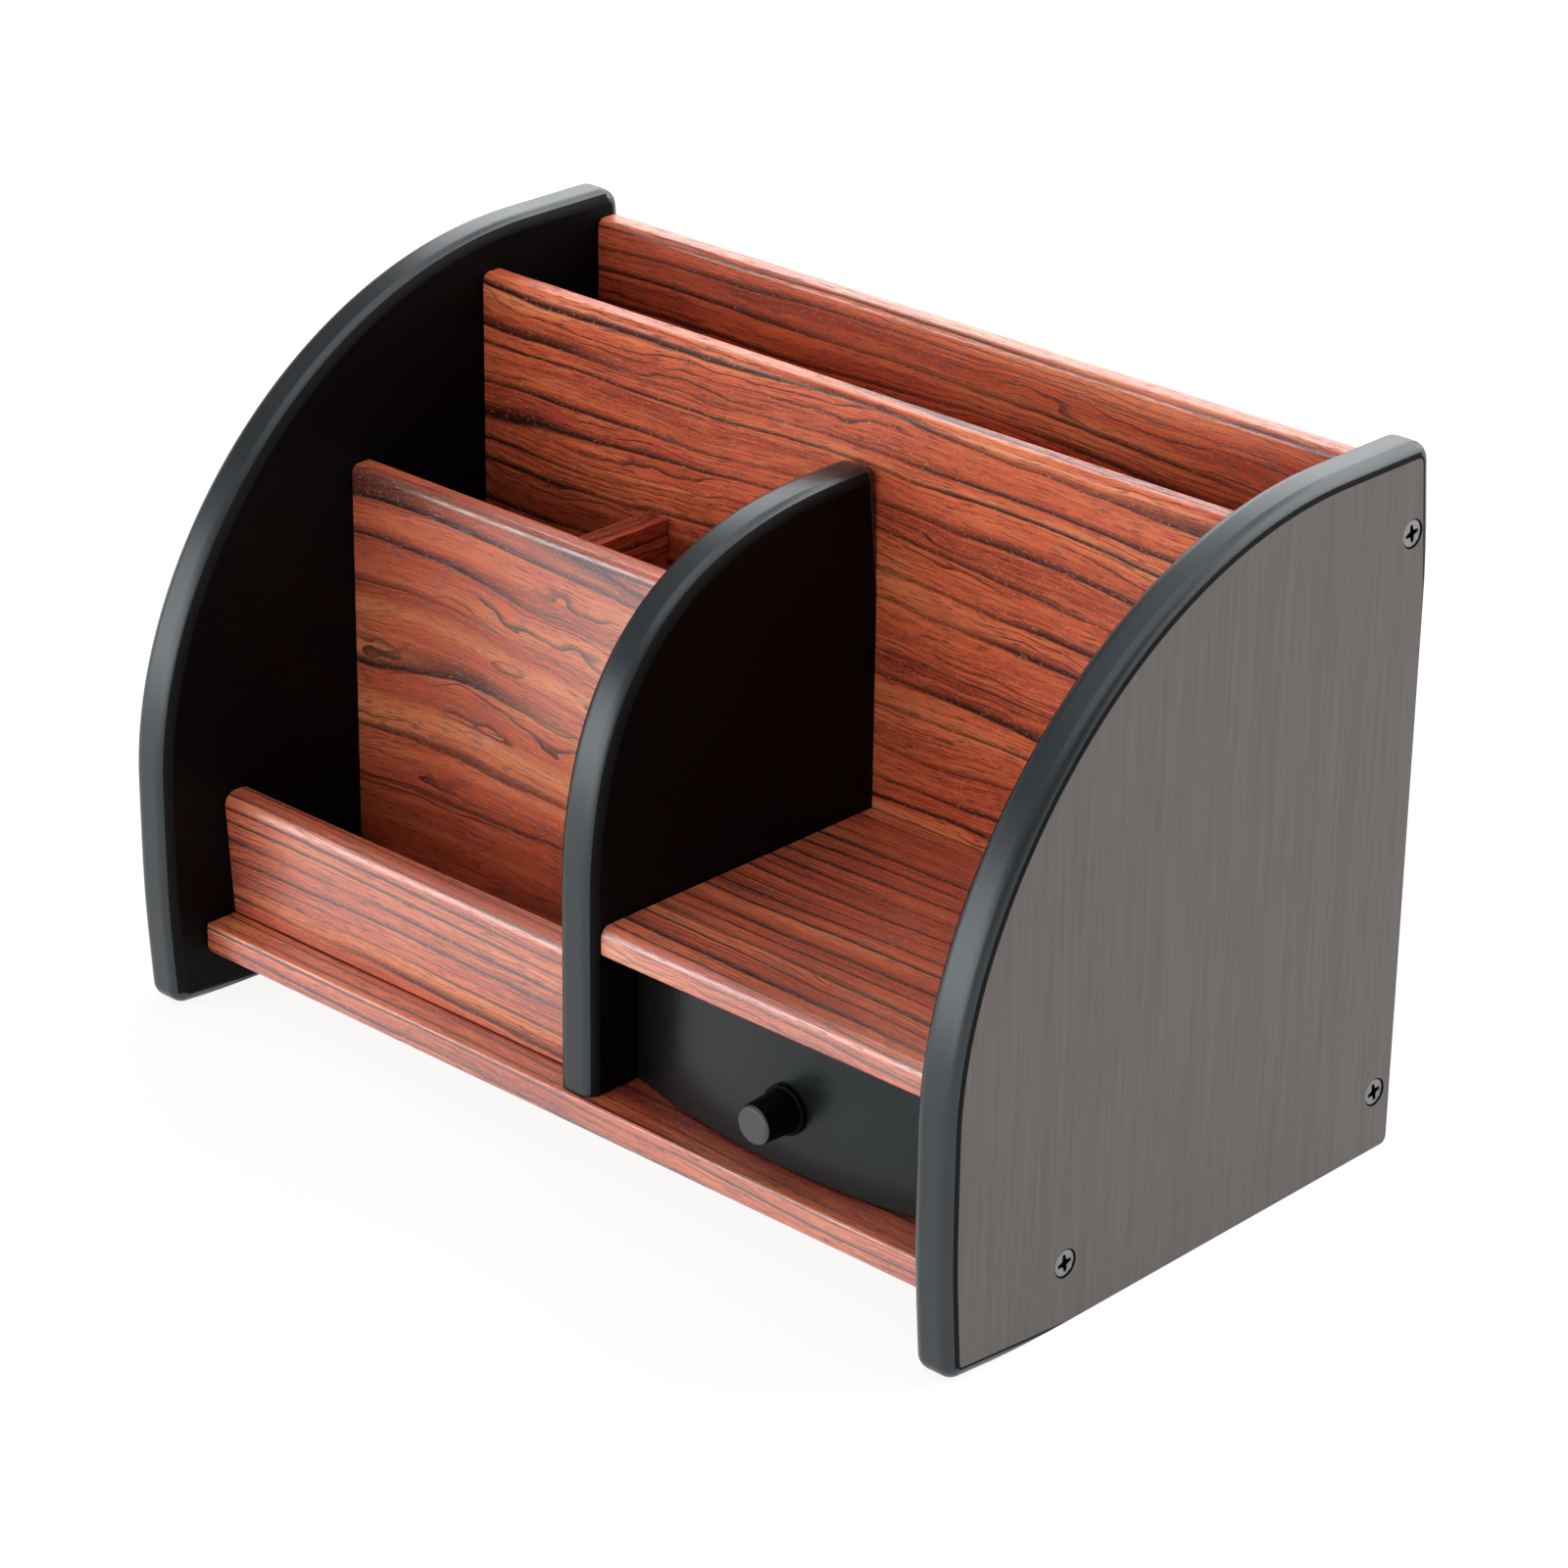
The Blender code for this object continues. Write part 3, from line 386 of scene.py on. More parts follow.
def draw_rosewood(wiring: Wiring, given: dict[str, Socket]) -> dict[str, Socket]:
    """Growth lines, tone stripes, fibres and pores that run along X.

    Args:
        wiring: The group's wiring.
        given: The group's inputs.

    Returns:
        Its outputs by name.
    """
    along, y, z = wiring.node("ShaderNodeSeparateXYZ", {0: given["Vector"]}).outputs
    aside = wiring.times(wiring.minus(along, given["Arch Middle"]), ARCH_SHARPNESS)
    bow = wiring.math("DIVIDE", 1.0, wiring.plus(wiring.times(aside, aside), 1.0))
    across = wiring.minus(wiring.plus(y, z), wiring.times(bow, given["Arch Height"]))
    level, line = draw_growth_lines(wiring, given, along, across)
    tone = wiring.plus(wiring.times(TONE_STRIPE.draw(wiring, along, level), STRIPE_SHARE),
                       wiring.times(TONE_CLOUD.draw(wiring, along, across), CLOUD_SHARE))
    fibre, pore, grit = (streak.draw(wiring, along, level) for streak in (FIBRE, PORE, GRIT))
    dash = wiring.span(pore, 0.57, 0.66)
    colour = given["Deep"]
    for share, name in ((wiring.span(tone, 0.34, 0.50), "Middle"), (wiring.span(tone, 0.50, 0.66), "Light"),
                        (wiring.span(fibre, 0.50, 0.66, 0.0, 0.50), "Deep"),
                        (wiring.span(fibre, 0.34, 0.50, 0.30, 0.0), "Light"),
                        (line, "Line"), (wiring.times(dash, PORE_DARKNESS), "Line"),
                        (wiring.span(grit, 0.60, 0.74, 0.0, 0.45), "Light")):
        colour = wiring.mix(share, colour, given[name])
    rough = wiring.plus(wiring.span(fibre, 0.3, 0.7, 0.30, 0.42), wiring.times(dash, PORE_ROUGHNESS))
    return {"Colour": colour, "Roughness": wiring.minus(rough, given["Polish"]),
            "Height": wiring.minus(wiring.times(fibre, FIBRE_HEIGHT), dash)}


SATIN_TOOTH = Effect(
    name="satin_tooth",
    numbers={"Grain Size": 0.0006, "Roughness": 0.4, "Variation": 0.08},
    colours={"Light": srgb(60, 62, 62), "Dark": srgb(30, 31, 31)},
)


def draw_satin(wiring: Wiring, given: dict[str, Socket]) -> dict[str, Socket]:
    """Fine tooth of a sprayed or moulded surface, with broad soft unevenness.

    Args:
        wiring: The group's wiring.
        given: The group's inputs.

    Returns:
        Its outputs by name.
    """
    per = wiring.math("DIVIDE", 1.0, given["Grain Size"])
    scaled = wiring.out("ShaderNodeVectorMath", {0: given["Vector"], "Scale": per}, operation="SCALE")
    tooth = wiring.noise(scaled, 2.0, 0.6)
    broad = wiring.noise(wiring.stretched(given["Vector"], (BROAD_UNEVENNESS,) * 3), 3.0)
    share = wiring.span(wiring.plus(wiring.times(tooth, 0.6), wiring.times(broad, 0.4)), 0.36, 0.64)
    swing = wiring.times(wiring.minus(share, 0.5), given["Variation"])
    return {"Colour": wiring.mix(share, given["Dark"], given["Light"]),
            "Roughness": wiring.math("ADD", given["Roughness"], swing, True), "Height": tooth}


def new_material(name: str) -> tuple[bpy.types.Material, Wiring, bpy.types.Node]:
    """Adds a material with only its Principled shader.

    Args:
        name: The material's name.

    Returns:
        The material, its wiring and its shader.
    """
    material = bpy.data.materials.new(name)
    material.use_nodes = True
    return material, Wiring(material.node_tree), material.node_tree.nodes["Principled BSDF"]


def place_on_piece(wiring: Wiring, shift: Sequence[float] = (0.0, 0.0, 0.0), turn: float = 0.0) -> Socket:
    """Object coordinates, moved and turned about Z so that a piece shows its own part of a pattern."""
    where = wiring.node("ShaderNodeTexCoord").outputs["Object"]
    return wiring.out("ShaderNodeMapping", {"Vector": where, "Location": tuple(shift),
                                            "Rotation": (0.0, 0.0, turn)})


def raise_surface(wiring: Wiring, shader: bpy.types.Node, height: Socket, depth: float,
                  strength: float) -> None:
    """Feeds a height, whose 1 is the depth in metres, to the shader's normal."""
    wiring.feed(shader.inputs["Normal"], wiring.out("ShaderNodeBump", {
        "Height": height, "Distance": depth, "Strength": strength}))


def wear_effect(wiring: Wiring, shader: bpy.types.Node, tree: bpy.types.NodeTree, values: dict[str, Any],
                depth: float, strength: float) -> None:
    """Puts an effect's group in a material as its colour, roughness and relief.

    Args:
        wiring: The material's wiring.
        shader: The Principled shader.
        tree: The group's tree.
        values: Its inputs by name.
        depth: Height of the relief in metres.
        strength: Strength of the relief.
    """
    made = wiring.node("ShaderNodeGroup", node_tree=tree)
    for name, value in values.items():
        wiring.feed(made.inputs[name], value)
    wiring.feed(shader.inputs["Base Color"], made.outputs["Colour"])
    wiring.feed(shader.inputs["Roughness"], made.outputs["Roughness"])
    raise_surface(wiring, shader, made.outputs["Height"], depth, strength)


@dataclass(frozen=True)
class RosewoodVeneer:
    """Printed rosewood veneer under satin varnish.

    Args:
        name: The material's name.
        shift: Which part of the veneer the board shows.
        spacing: Distance between its dark lines.
        waviness: How far the lines sway.
        swirl: How many rings curl round each other.
        arch: Height of the arch in the lines, and where along the grain its middle is.
        way: Which way the grain runs.
        ior: How strongly its varnish reflects.
        polish: How much smoother than the rest its varnish is.
    """

    name: str
    shift: tuple[float, float, float]
    spacing: float = 0.008
    waviness: float = 0.004
    swirl: float = 0.0
    arch: tuple[float, float] = (0.0, 0.0)
    way: GrainWay = GrainWay.ACROSS
    ior: float = 1.5
    polish: float = 0.0

    def material(self) -> bpy.types.Material:
        """Builds the material."""
        material, wiring, shader = new_material(self.name)
        shader.inputs["IOR"].default_value = self.ior
        wear_effect(wiring, shader, ROSEWOOD_FIGURE.tree(draw_rosewood), {
            "Vector": place_on_piece(wiring, self.shift, self.way.value), "Line Spacing": self.spacing,
            "Waviness": self.waviness, "Swirl": self.swirl, "Arch Height": self.arch[0],
            "Arch Middle": self.arch[1], "Polish": self.polish}, VENEER_RELIEF, 0.5)
        return material


@dataclass(frozen=True)
class SatinLacquer:
    """Sprayed satin lacquer.

    Args:
        name: The material's name.
        light: Colour of its lighter grains.
        dark: Colour of its darker grains.
        roughness: How matt it is.
        ior: How strongly it reflects.
        sheen_level: Share of that reflection that is left, 0.5 being all of it.
        tint: Colour of that reflection.
        tooth: Size of its grains.
        relief: Height of its grains.
    """

    name: str
    light: Colour
    dark: Colour
    roughness: float
    ior: float
    sheen_level: float = 0.5
    tint: Colour = (1.0, 1.0, 1.0)
    tooth: float = 0.0005
    relief: float = FINE_RELIEF

    def material(self) -> bpy.types.Material:
        """Builds the material."""
        material, wiring, shader = new_material(self.name)
        shader.inputs["IOR"].default_value = self.ior
        shader.inputs["Specular IOR Level"].default_value = self.sheen_level
        shader.inputs["Specular Tint"].default_value = (*self.tint, 1.0)
        wear_effect(wiring, shader, SATIN_TOOTH.tree(draw_satin), {
            "Vector": place_on_piece(wiring), "Grain Size": self.tooth, "Roughness": self.roughness,
            "Light": (*self.light, 1.0), "Dark": (*self.dark, 1.0)}, self.relief, SOFT_BUMP)
        return material


@dataclass(frozen=True)
class GrainedLaminate:
    """Dark grey laminate with a fine upright grain, on the outer faces of the side panels.

    Args:
        name: The material's name.
        light: Colour between the grain's lines.
        dark: Colour of the lines.
        roughness: How matt it is.
        ior: How strongly it reflects.
        fine_grain: How often the fine grain changes in a metre of each axis.
        broad_grain: The same of the broad bands.
    """

    name: str
    light: Colour
    dark: Colour
    roughness: float
    ior: float
    fine_grain: tuple[float, float, float] = (1300.0, 1300.0, 34.0)
    broad_grain: tuple[float, float, float] = (260.0, 260.0, 9.0)

    def material(self) -> bpy.types.Material:
        """Builds the material."""
        material, wiring, shader = new_material(self.name)
        place = place_on_piece(wiring)
        fine = wiring.noise(wiring.stretched(place, self.fine_grain), 3.0, 0.6)
        broad = wiring.noise(wiring.stretched(place, self.broad_grain), 2.0)
        share = wiring.span(wiring.plus(wiring.times(fine, 0.65), wiring.times(broad, 0.35)), 0.34, 0.62)
        wiring.feed(shader.inputs["Base Color"], wiring.mix(share, self.dark, self.light))
        wiring.feed(shader.inputs["Roughness"],
                    wiring.span(fine, 0.3, 0.7, self.roughness + 0.05, self.roughness - 0.05))
        shader.inputs["IOR"].default_value = self.ior
        raise_surface(wiring, shader, fine, GRAIN_RELIEF, 0.35)
        return material


@dataclass(frozen=True)
class ZincSteel:
    """Zinc plated steel, a little clouded.

    Args:
        name: The material's name.
        bright: Colour of the clean plating.
        dull: Colour of the clouded plating.
        roughness: How matt it is.
    """

    name: str = "zinc_plated_steel"
    bright: Colour = (0.30, 0.30, 0.30)
    dull: Colour = (0.19, 0.19, 0.19)
    roughness: float = 0.38

    def material(self) -> bpy.types.Material:
        """Builds the material."""
        material, wiring, shader = new_material(self.name)
        shader.inputs["Metallic"].default_value = 1.0
        wear_effect(wiring, shader, SATIN_TOOTH.tree(draw_satin), {
            "Vector": place_on_piece(wiring), "Grain Size": 0.0004, "Roughness": self.roughness,
            "Variation": 0.15, "Light": (*self.bright, 1.0), "Dark": (*self.dull, 1.0)},
            FINE_RELIEF, SOFT_BUMP)
        return material


@dataclass(frozen=True)
class BeechWood:
    """Plain beech of the dowels.

    Args:
        name: The material's name.
        light: Colour of the early wood.
        dark: Colour of the flecks.
        flecks: How often the flecks change in a metre of each axis.
    """

    name: str = "beech_dowel"
    light: Colour = (0.62, 0.44, 0.26)
    dark: Colour = (0.40, 0.25, 0.13)
    flecks: tuple[float, float, float] = (300.0, 900.0, 900.0)

    def material(self) -> bpy.types.Material:
        """Builds the material."""
        material, wiring, shader = new_material(self.name)
        fleck = wiring.noise(wiring.stretched(place_on_piece(wiring), self.flecks), 2.0)
        colour = wiring.mix(wiring.span(fleck, 0.45, 0.7), self.light, self.dark)
        wiring.feed(shader.inputs["Base Color"], colour)
        wiring.feed(shader.inputs["Roughness"], wiring.span(fleck, 0.3, 0.7, 0.55, 0.68))
        raise_surface(wiring, shader, fleck, GRAIN_RELIEF, SOFT_BUMP)
        return material


def added(name: str, data: Any) -> bpy.types.Object:
    """Puts a new object in the scene.

    Args:
        name: Its name.
        data: Its mesh, lamp or camera.

    Returns:
        The object.
    """
    obj = bpy.data.objects.new(name, data)
    bpy.context.scene.collection.objects.link(obj)
    return obj


def drop(obj: bpy.types.Object) -> None:
    """Removes a helper object."""
    bpy.data.objects.remove(obj, do_unlink=True)


def with_modifiers(obj: bpy.types.Object) -> bpy.types.Mesh:
    """Mesh of a helper object that stands at the origin, with its modifiers.

    Args:
        obj: The object, which is removed.

    Returns:
        The mesh.
    """
    bpy.context.view_layer.update()
    depsgraph = bpy.context.evaluated_depsgraph_get()
    made = bpy.data.meshes.new_from_object(obj.evaluated_get(depsgraph))
    drop(obj)
    return made


def evaluated_mesh(obj: bpy.types.Object) -> bpy.types.Mesh:
    """Plain mesh of an object with its modifiers.

    Args:
        obj: The object, which is removed.

    Returns:
        The mesh, welded, with its faces outwards.
    """
    mesh = with_modifiers(obj)
    bm = bmesh.new()
    bm.from_mesh(mesh)
    bmesh.ops.remove_doubles(bm, verts=bm.verts, dist=WELD)
    bmesh.ops.recalc_face_normals(bm, faces=bm.faces)
    bm.to_mesh(mesh)
    bm.free()
    return mesh


def soften(mesh: bpy.types.Mesh) -> bpy.types.Mesh:
    """Smooth shading over rounds, with flats kept flat and arrises kept sharp.

    Args:
        mesh: The mesh, which is replaced.

    Returns:
        The mesh with its normals.
    """
    mesh.shade_smooth()
    mesh.set_sharp_from_angle(angle=SHARP_ANGLE)
    obj = added("softened", mesh)
    weighted = obj.modifiers.new("Flats", "WEIGHTED_NORMAL")
    weighted.keep_sharp = True
    weighted.weight = 100
    return with_modifiers(obj)


def finished_piece(name: str, mesh: bpy.types.Mesh, materials: Sequence[bpy.types.Material], body: Case,
                   nodes: Sequence[str]) -> bpy.types.Object:
    """Makes a dressed piece stand for its nodes.

    Args:
        name: The piece's name.
        mesh: Its mesh, in place.
        materials: Its materials, by slot.
        body: The body it rides on.
        nodes: The nodes that it replaces.

    Returns:
        The piece.
    """
    for place, material in enumerate(materials):
        if place < len(mesh.materials):
            mesh.materials[place] = material
        else:
            mesh.materials.append(material)
    obj = added(name, mesh)
    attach(obj, body.value)
    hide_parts(*nodes)
    LOG.info("%s: %d faces on %s", name, len(mesh.polygons), body.value)
    return obj


def arc(centre: tuple[float, float], radius: float, start: float, end: float, steps: int) -> Profile:
    """Points of a circular arc, both ends included.

    Args:
        centre: The arc's centre.
        radius: Its radius.
        start: Angle of its first point.
        end: Angle of its last point.
        steps: Number of its chords.

    Returns:
        The points.
    """
    angles = [between(start, end, i / steps) for i in range(steps + 1)]
    return [(centre[0] + radius * math.cos(a), centre[1] + radius * math.sin(a)) for a in angles]


def bezier(corners: Sequence[tuple[float, float]], steps: int) -> Profile:
    """Points of a cubic curve, without its last point.

    Args:
        corners: Start, the two pulls and the end.
        steps: Number of its chords.

    Returns:
        The points.
    """
    points = []
    for i in range(steps):
        t = i / steps
        s = 1 - t
        weights = (s ** 3, 3 * s * s * t, 3 * s * t * t, t ** 3)
        points.append(tuple(sum(w * c[k] for w, c in zip(weights, corners)) for k in range(2)))
    return points


def slab(points: Profile, thickness: float) -> bpy.types.Mesh:
    """Flat outline in XY filled and given its thickness about its middle.

    Args:
        points: The outline.
        thickness: Its thickness along Z.

    Returns:
        A mesh whose flat sides are one face each.
    """
    mesh = bpy.data.meshes.new("slab")
    bm = bmesh.new()
    low = [bm.verts.new((x, y, -thickness / 2)) for x, y in points]
    high = [bm.verts.new((x, y, thickness / 2)) for x, y in points]
    bm.faces.new(low)
    bm.faces.new(high)
    for i in range(len(points)):
        j = (i + 1) % len(points)
        bm.faces.new((low[i], low[j], high[j], high[i]))
    bmesh.ops.recalc_face_normals(bm, faces=bm.faces)
    bm.to_mesh(mesh)
    bm.free()
    return mesh


def turned(profile: Profile, steps: int) -> bpy.types.Mesh:
    """Profile of (radius, height) points turned about Z.

    Args:
        profile: The points, from the top down.
        steps: Number of steps round.

    Returns:
        The closed mesh.
    """
    mesh = bpy.data.meshes.new("turned")
    edges = [(i, i + 1) for i in range(len(profile) - 1)]
    mesh.from_pydata([(radius, 0.0, height) for radius, height in profile], edges, [])
    obj = added("turned", mesh)
    turn = obj.modifiers.new("Turn", "SCREW")
    turn.steps = steps
    turn.render_steps = steps
    turn.use_merge_vertices = True
    turn.merge_threshold = WELD
    return evaluated_mesh(obj)


def facing(direction: Vector, place: Vector) -> Matrix:
    """Matrix that turns +Z to the direction and moves the origin to the place.

    Args:
        direction: Where +Z goes.
        place: Where the origin goes.

    Returns:
        The matrix.
    """
    turn = Vector((0, 0, 1)).rotation_difference(direction).to_matrix().to_4x4()
    return Matrix.Translation(place) @ turn


def less(mesh: bpy.types.Mesh, cutters: Sequence[bpy.types.Mesh]) -> bpy.types.Mesh:
    """Takes closed shapes out of a mesh.

    Args:
        mesh: The mesh, which is replaced.
        cutters: The shapes, in place, none touching another.

    Returns:
        What is left.
    """
    bm = bmesh.new()
    for cutter in cutters:
        bm.from_mesh(cutter)
    joined = bpy.data.meshes.new("cutters")
    bm.to_mesh(joined)
    bm.free()
    tool = added("cutters", joined)
    obj = added("cut", mesh)
    boolean = obj.modifiers.new("Holes", "BOOLEAN")
    boolean.operation = "DIFFERENCE"
    boolean.solver = "EXACT"
    boolean.object = tool
    made = evaluated_mesh(obj)
    drop(tool)
    return made


def rounded(mesh: bpy.types.Mesh, radius: float, steps: int,
            keeps: Callable[[Vector, Vector], bool]) -> bpy.types.Mesh:
    """Rounds the edges for which keeps(middle, direction) holds.

    Args:
        mesh: The mesh, which is replaced.
        radius: Radius of the round.
        steps: Number of its facets.
        keeps: Says which edges are rounded.

    Returns:
        The rounded mesh.
    """
    weights = mesh.attributes.new("bevel_weight_edge", "FLOAT", "EDGE")
    for edge in mesh.edges:
        start, end = (mesh.vertices[i].co for i in edge.vertices)
        weights.data[edge.index].value = float(keeps((start + end) / 2, (end - start).normalized()))
    obj = added("rounded", mesh)
    bevel = obj.modifiers.new("Round", "BEVEL")
    bevel.limit_method = "WEIGHT"
    bevel.width = radius
    bevel.segments = steps
    bevel.use_clamp_overlap = False
    return evaluated_mesh(obj)


@dataclass
class NodeModifier:
    """A geometry node tree with named inputs, run once on a helper object.

    Args:
        name: The tree's name.
        sockets: Its inputs and their socket types.
    """

    name: str
    sockets: dict[str, str]

    def wiring(self) -> tuple[Wiring, dict[str, Socket], bpy.types.Node]:
        """Starts the tree.

        Returns:
            Its wiring, its inputs by name and its output node.
        """
        tree = bpy.data.node_groups.new(self.name, "GeometryNodeTree")
        tree.interface.new_socket(name="Geometry", in_out="OUTPUT", socket_type="NodeSocketGeometry")
        tree.interface.new_socket(name="Geometry", in_out="INPUT", socket_type="NodeSocketGeometry")
        for name, kind in self.sockets.items():
            tree.interface.new_socket(name=name, in_out="INPUT", socket_type=kind)
        wiring = Wiring(tree)
        given = wiring.node("NodeGroupInput")
        taken = wiring.node("NodeGroupOutput")
        return wiring, {socket.name: socket for socket in given.outputs if socket.name}, taken

    def run(self, tree: bpy.types.NodeTree, mesh: bpy.types.Mesh, values: dict[str, Any]) -> bpy.types.Mesh:
        """Evaluates the tree.

        Args:
            tree: The finished tree.
            mesh: The mesh that it starts from.
            values: Its inputs by name.

        Returns:
            The plain mesh.
        """
        obj = added(self.name, mesh)
        modifier = obj.modifiers.new(self.name, "NODES")
        modifier.node_group = tree
        for item in tree.interface.items_tree:
            if item.in_out == "INPUT" and item.name in values:
                modifier[item.identifier] = values[item.name]
        return evaluated_mesh(obj)


@dataclass
class BoardMaker:
    """Draws a board's section with its rounded edges and runs it out along X.

    Args:
        steps: Facets in each rounded edge.
        ease: Radius of the edges that aren't rounded.
        nodes: The tree's inputs.
        tree: The tree, once it's built.
    """

    steps: int = 8
    ease: float = 0.00015
    nodes: NodeModifier = field(default_factory=lambda: NodeModifier("rounded_board", {
        "Length": "NodeSocketFloat", "Depth": "NodeSocketFloat", "Height": "NodeSocketFloat",
        "Round Radius": "NodeSocketFloat", "Under Radius": "NodeSocketFloat",
        "Ease Radius": "NodeSocketFloat", "Round Steps": "NodeSocketInt",
        "Round Side": "NodeSocketVector", "Lean": "NodeSocketFloat", "Start": "NodeSocketVector",
        "Material": "NodeSocketMaterial"}))
    tree: bpy.types.NodeTree | None = None

    def build_tree(self) -> bpy.types.NodeTree:
        """Builds the tree: section, fillets, lean, length, place and material.

        Returns:
            The finished tree.
        """
        wiring, given, taken = self.nodes.wiring()
        section = wiring.out("GeometryNodeCurvePrimitiveQuadrilateral", {
            "Width": given["Depth"], "Height": given["Height"]}, mode="RECTANGLE")
        where = wiring.out("GeometryNodeInputPosition")
        side = wiring.node("ShaderNodeVectorMath", {0: where, 1: given["Round Side"]},
                           operation="DOT_PRODUCT")
        chosen = wiring.math("GREATER_THAN", side.outputs["Value"], WELD)
        height = wiring.node("ShaderNodeSeparateXYZ", {0: where}).outputs[1]
        under = wiring.math("LESS_THAN", height, 0.0)
        rounds = wiring.out("GeometryNodeSwitch", {
            "Switch": under, "False": given["Round Radius"], "True": given["Under Radius"]},
            input_type="FLOAT")
        radius = wiring.out("GeometryNodeSwitch", {
            "Switch": chosen, "False": given["Ease Radius"], "True": rounds}, input_type="FLOAT")
        fillet = wiring.out("GeometryNodeFilletCurve", {
            "Curve": section, "Count": given["Round Steps"], "Radius": radius, "Limit Radius": True},
            mode="POLY")
        filled = wiring.out("GeometryNodeFillCurve", {"Curve": fillet}, mode="NGONS")
        rise = wiring.plus(wiring.math("DIVIDE", height, given["Height"]), 0.5)
        forward = wiring.times(wiring.times(rise, given["Lean"]), -1.0)
        leaned = wiring.out("GeometryNodeSetPosition", {
            "Geometry": filled, "Offset": wiring.point(forward, 0.0)})
        run_out = wiring.out("GeometryNodeExtrudeMesh", {
            "Mesh": leaned, "Offset": (0.0, 0.0, 1.0), "Offset Scale": given["Length"], "Individual": False},
            mode="FACES")
        start_face = wiring.out("GeometryNodeFlipFaces", {"Mesh": leaned})
        joined = wiring.node("GeometryNodeJoinGeometry")
        wiring.feed(joined.inputs[0], run_out)
        wiring.feed(joined.inputs[0], start_face)
        placed = wiring.out("GeometryNodeTransform", {
            "Geometry": joined.outputs[0], "Translation": given["Start"],
            "Rotation": (math.pi / 2, 0.0, math.pi / 2)})
        real = wiring.out("GeometryNodeRealizeInstances", {"Geometry": placed})
        wiring.feed(taken.inputs[0], wiring.out("GeometryNodeSetMaterial", {
            "Geometry": real, "Material": given["Material"]}))
        return wiring.tree

    def mesh(self, low: Vector, high: Vector, radii: tuple[float, float], side: RoundedSide, lean: float,
             material: bpy.types.Material) -> bpy.types.Mesh:
        """One board between two corners.

        Args:
            low: Its lowest corner.
            high: Its highest corner.
            radii: Radius of its rounded upper edges and of its rounded lower ones.
            side: Which side they are on.
            lean: How much further forward its top stands.
            material: Its material.

        Returns:
            The mesh in place.
        """
        if self.tree is None:
            self.tree = self.build_tree()
        size = high - low
        return self.nodes.run(self.tree, bpy.data.meshes.new("board"), {
            "Length": size.x, "Depth": size.y - lean, "Height": size.z, "Round Radius": radii[0],
            "Under Radius": radii[1], "Ease Radius": self.ease, "Round Steps": self.steps,
            "Round Side": (*side.value, 0.0), "Lean": lean,
            "Start": (low.x, (low.y + high.y + lean) / 2, (low.z + high.z) / 2),
            "Material": material})


@dataclass(frozen=True)
class WoodScrew:
    """Countersunk wood screw with a cross recess, and the hole that it sits in.

    Args:
        head: Head's diameter.
        rim: Height of the head's edge.
        shank: Shank's diameter.
        length: Length under the head's top.
        tip: Length of the point.
        sink: How far the head lies under the surface.
        gap: Room round the head.
        reach: Reach of the cross from the middle.
        width: Width of its arms at the middle.
        tip_width: Width of its arms at their ends.
        depth: Depth of the recess.
        turn: Turn of the cross.
        steps: Steps round the screw.
    """

    head: float = 0.0055
    rim: float = 0.0003
    shank: float = 0.0026
    length: float = 0.0250
    tip: float = 0.0030
    sink: float = 0.0002
    gap: float = 0.0003
    reach: float = 0.0019
    width: float = 0.0012
    tip_width: float = 0.0007
    depth: float = 0.0011
    turn: float = math.radians(8)
    steps: int = 40

    def profile(self, extra: float) -> Profile:
        """Profile under the head's top, made larger all round by extra."""
        head, shank = self.head / 2 + extra, self.shank / 2 + extra
        cone = -self.rim - (head - shank)
        return [(head, -self.rim), (shank, cone), (shank, self.tip - self.length)]

    def cross(self) -> Profile:
        """Outline of the cross recess: four arms that narrow outwards."""
        half, tip = self.width / 2, self.tip_width / 2
        quarter = [(self.reach, -tip), (self.reach, tip), (half, half)]
        points = []
        for i in range(4):
            c, s = round(math.cos(i * math.pi / 2)), round(math.sin(i * math.pi / 2))
            points += [(c * u - s * v, s * u + c * v) for u, v in quarter]
        return points

    def mesh(self) -> bpy.types.Mesh:
        """The screw with its head's top at the origin, pointing down."""
        soft = self.rim / 2
        crown = [(0.0, 0.0), (self.head / 2 - soft, 0.0), (self.head / 2 - soft * 0.3, -soft * 0.3),
                 (self.head / 2, -soft)]
        body = turned(crown + self.profile(0.0) + [(0.0, -self.length)], self.steps)
        recess = slab(self.cross(), 2 * self.depth)
        recess.transform(Matrix.Rotation(self.turn, 4, "Z"))
        mesh = less(body, [recess])
        # Faces inside the cross recess are marked for the painted shade finish.
        marks = mesh.attributes.new("recess", "BOOLEAN", "FACE")
        for face in mesh.polygons:
            inside = face.center.xy.length < self.reach and face.center.z > -1.5 * self.depth
            marks.data[face.index].value = inside and face.center.z < -self.rim / 2
        return mesh

    def hole(self, face: Vector, out: Vector, depth: float) -> bpy.types.Mesh:
        """The countersunk hole in a piece.

        Args:
            face: Where the screw meets the surface.
            out: Direction out of the surface.
            depth: How deep the hole goes.

        Returns:
            A closed shape to take out of the piece.
        """
        wide = self.profile(self.gap)
        above = [(0.0, self.rim), (wide[0][0], self.rim)]
        below = [(wide[2][0], -depth), (0.0, -depth)]
        mesh = turned(above + wide[:2] + below, self.steps)
        mesh.transform(facing(out, face - out * self.sink))
        return mesh


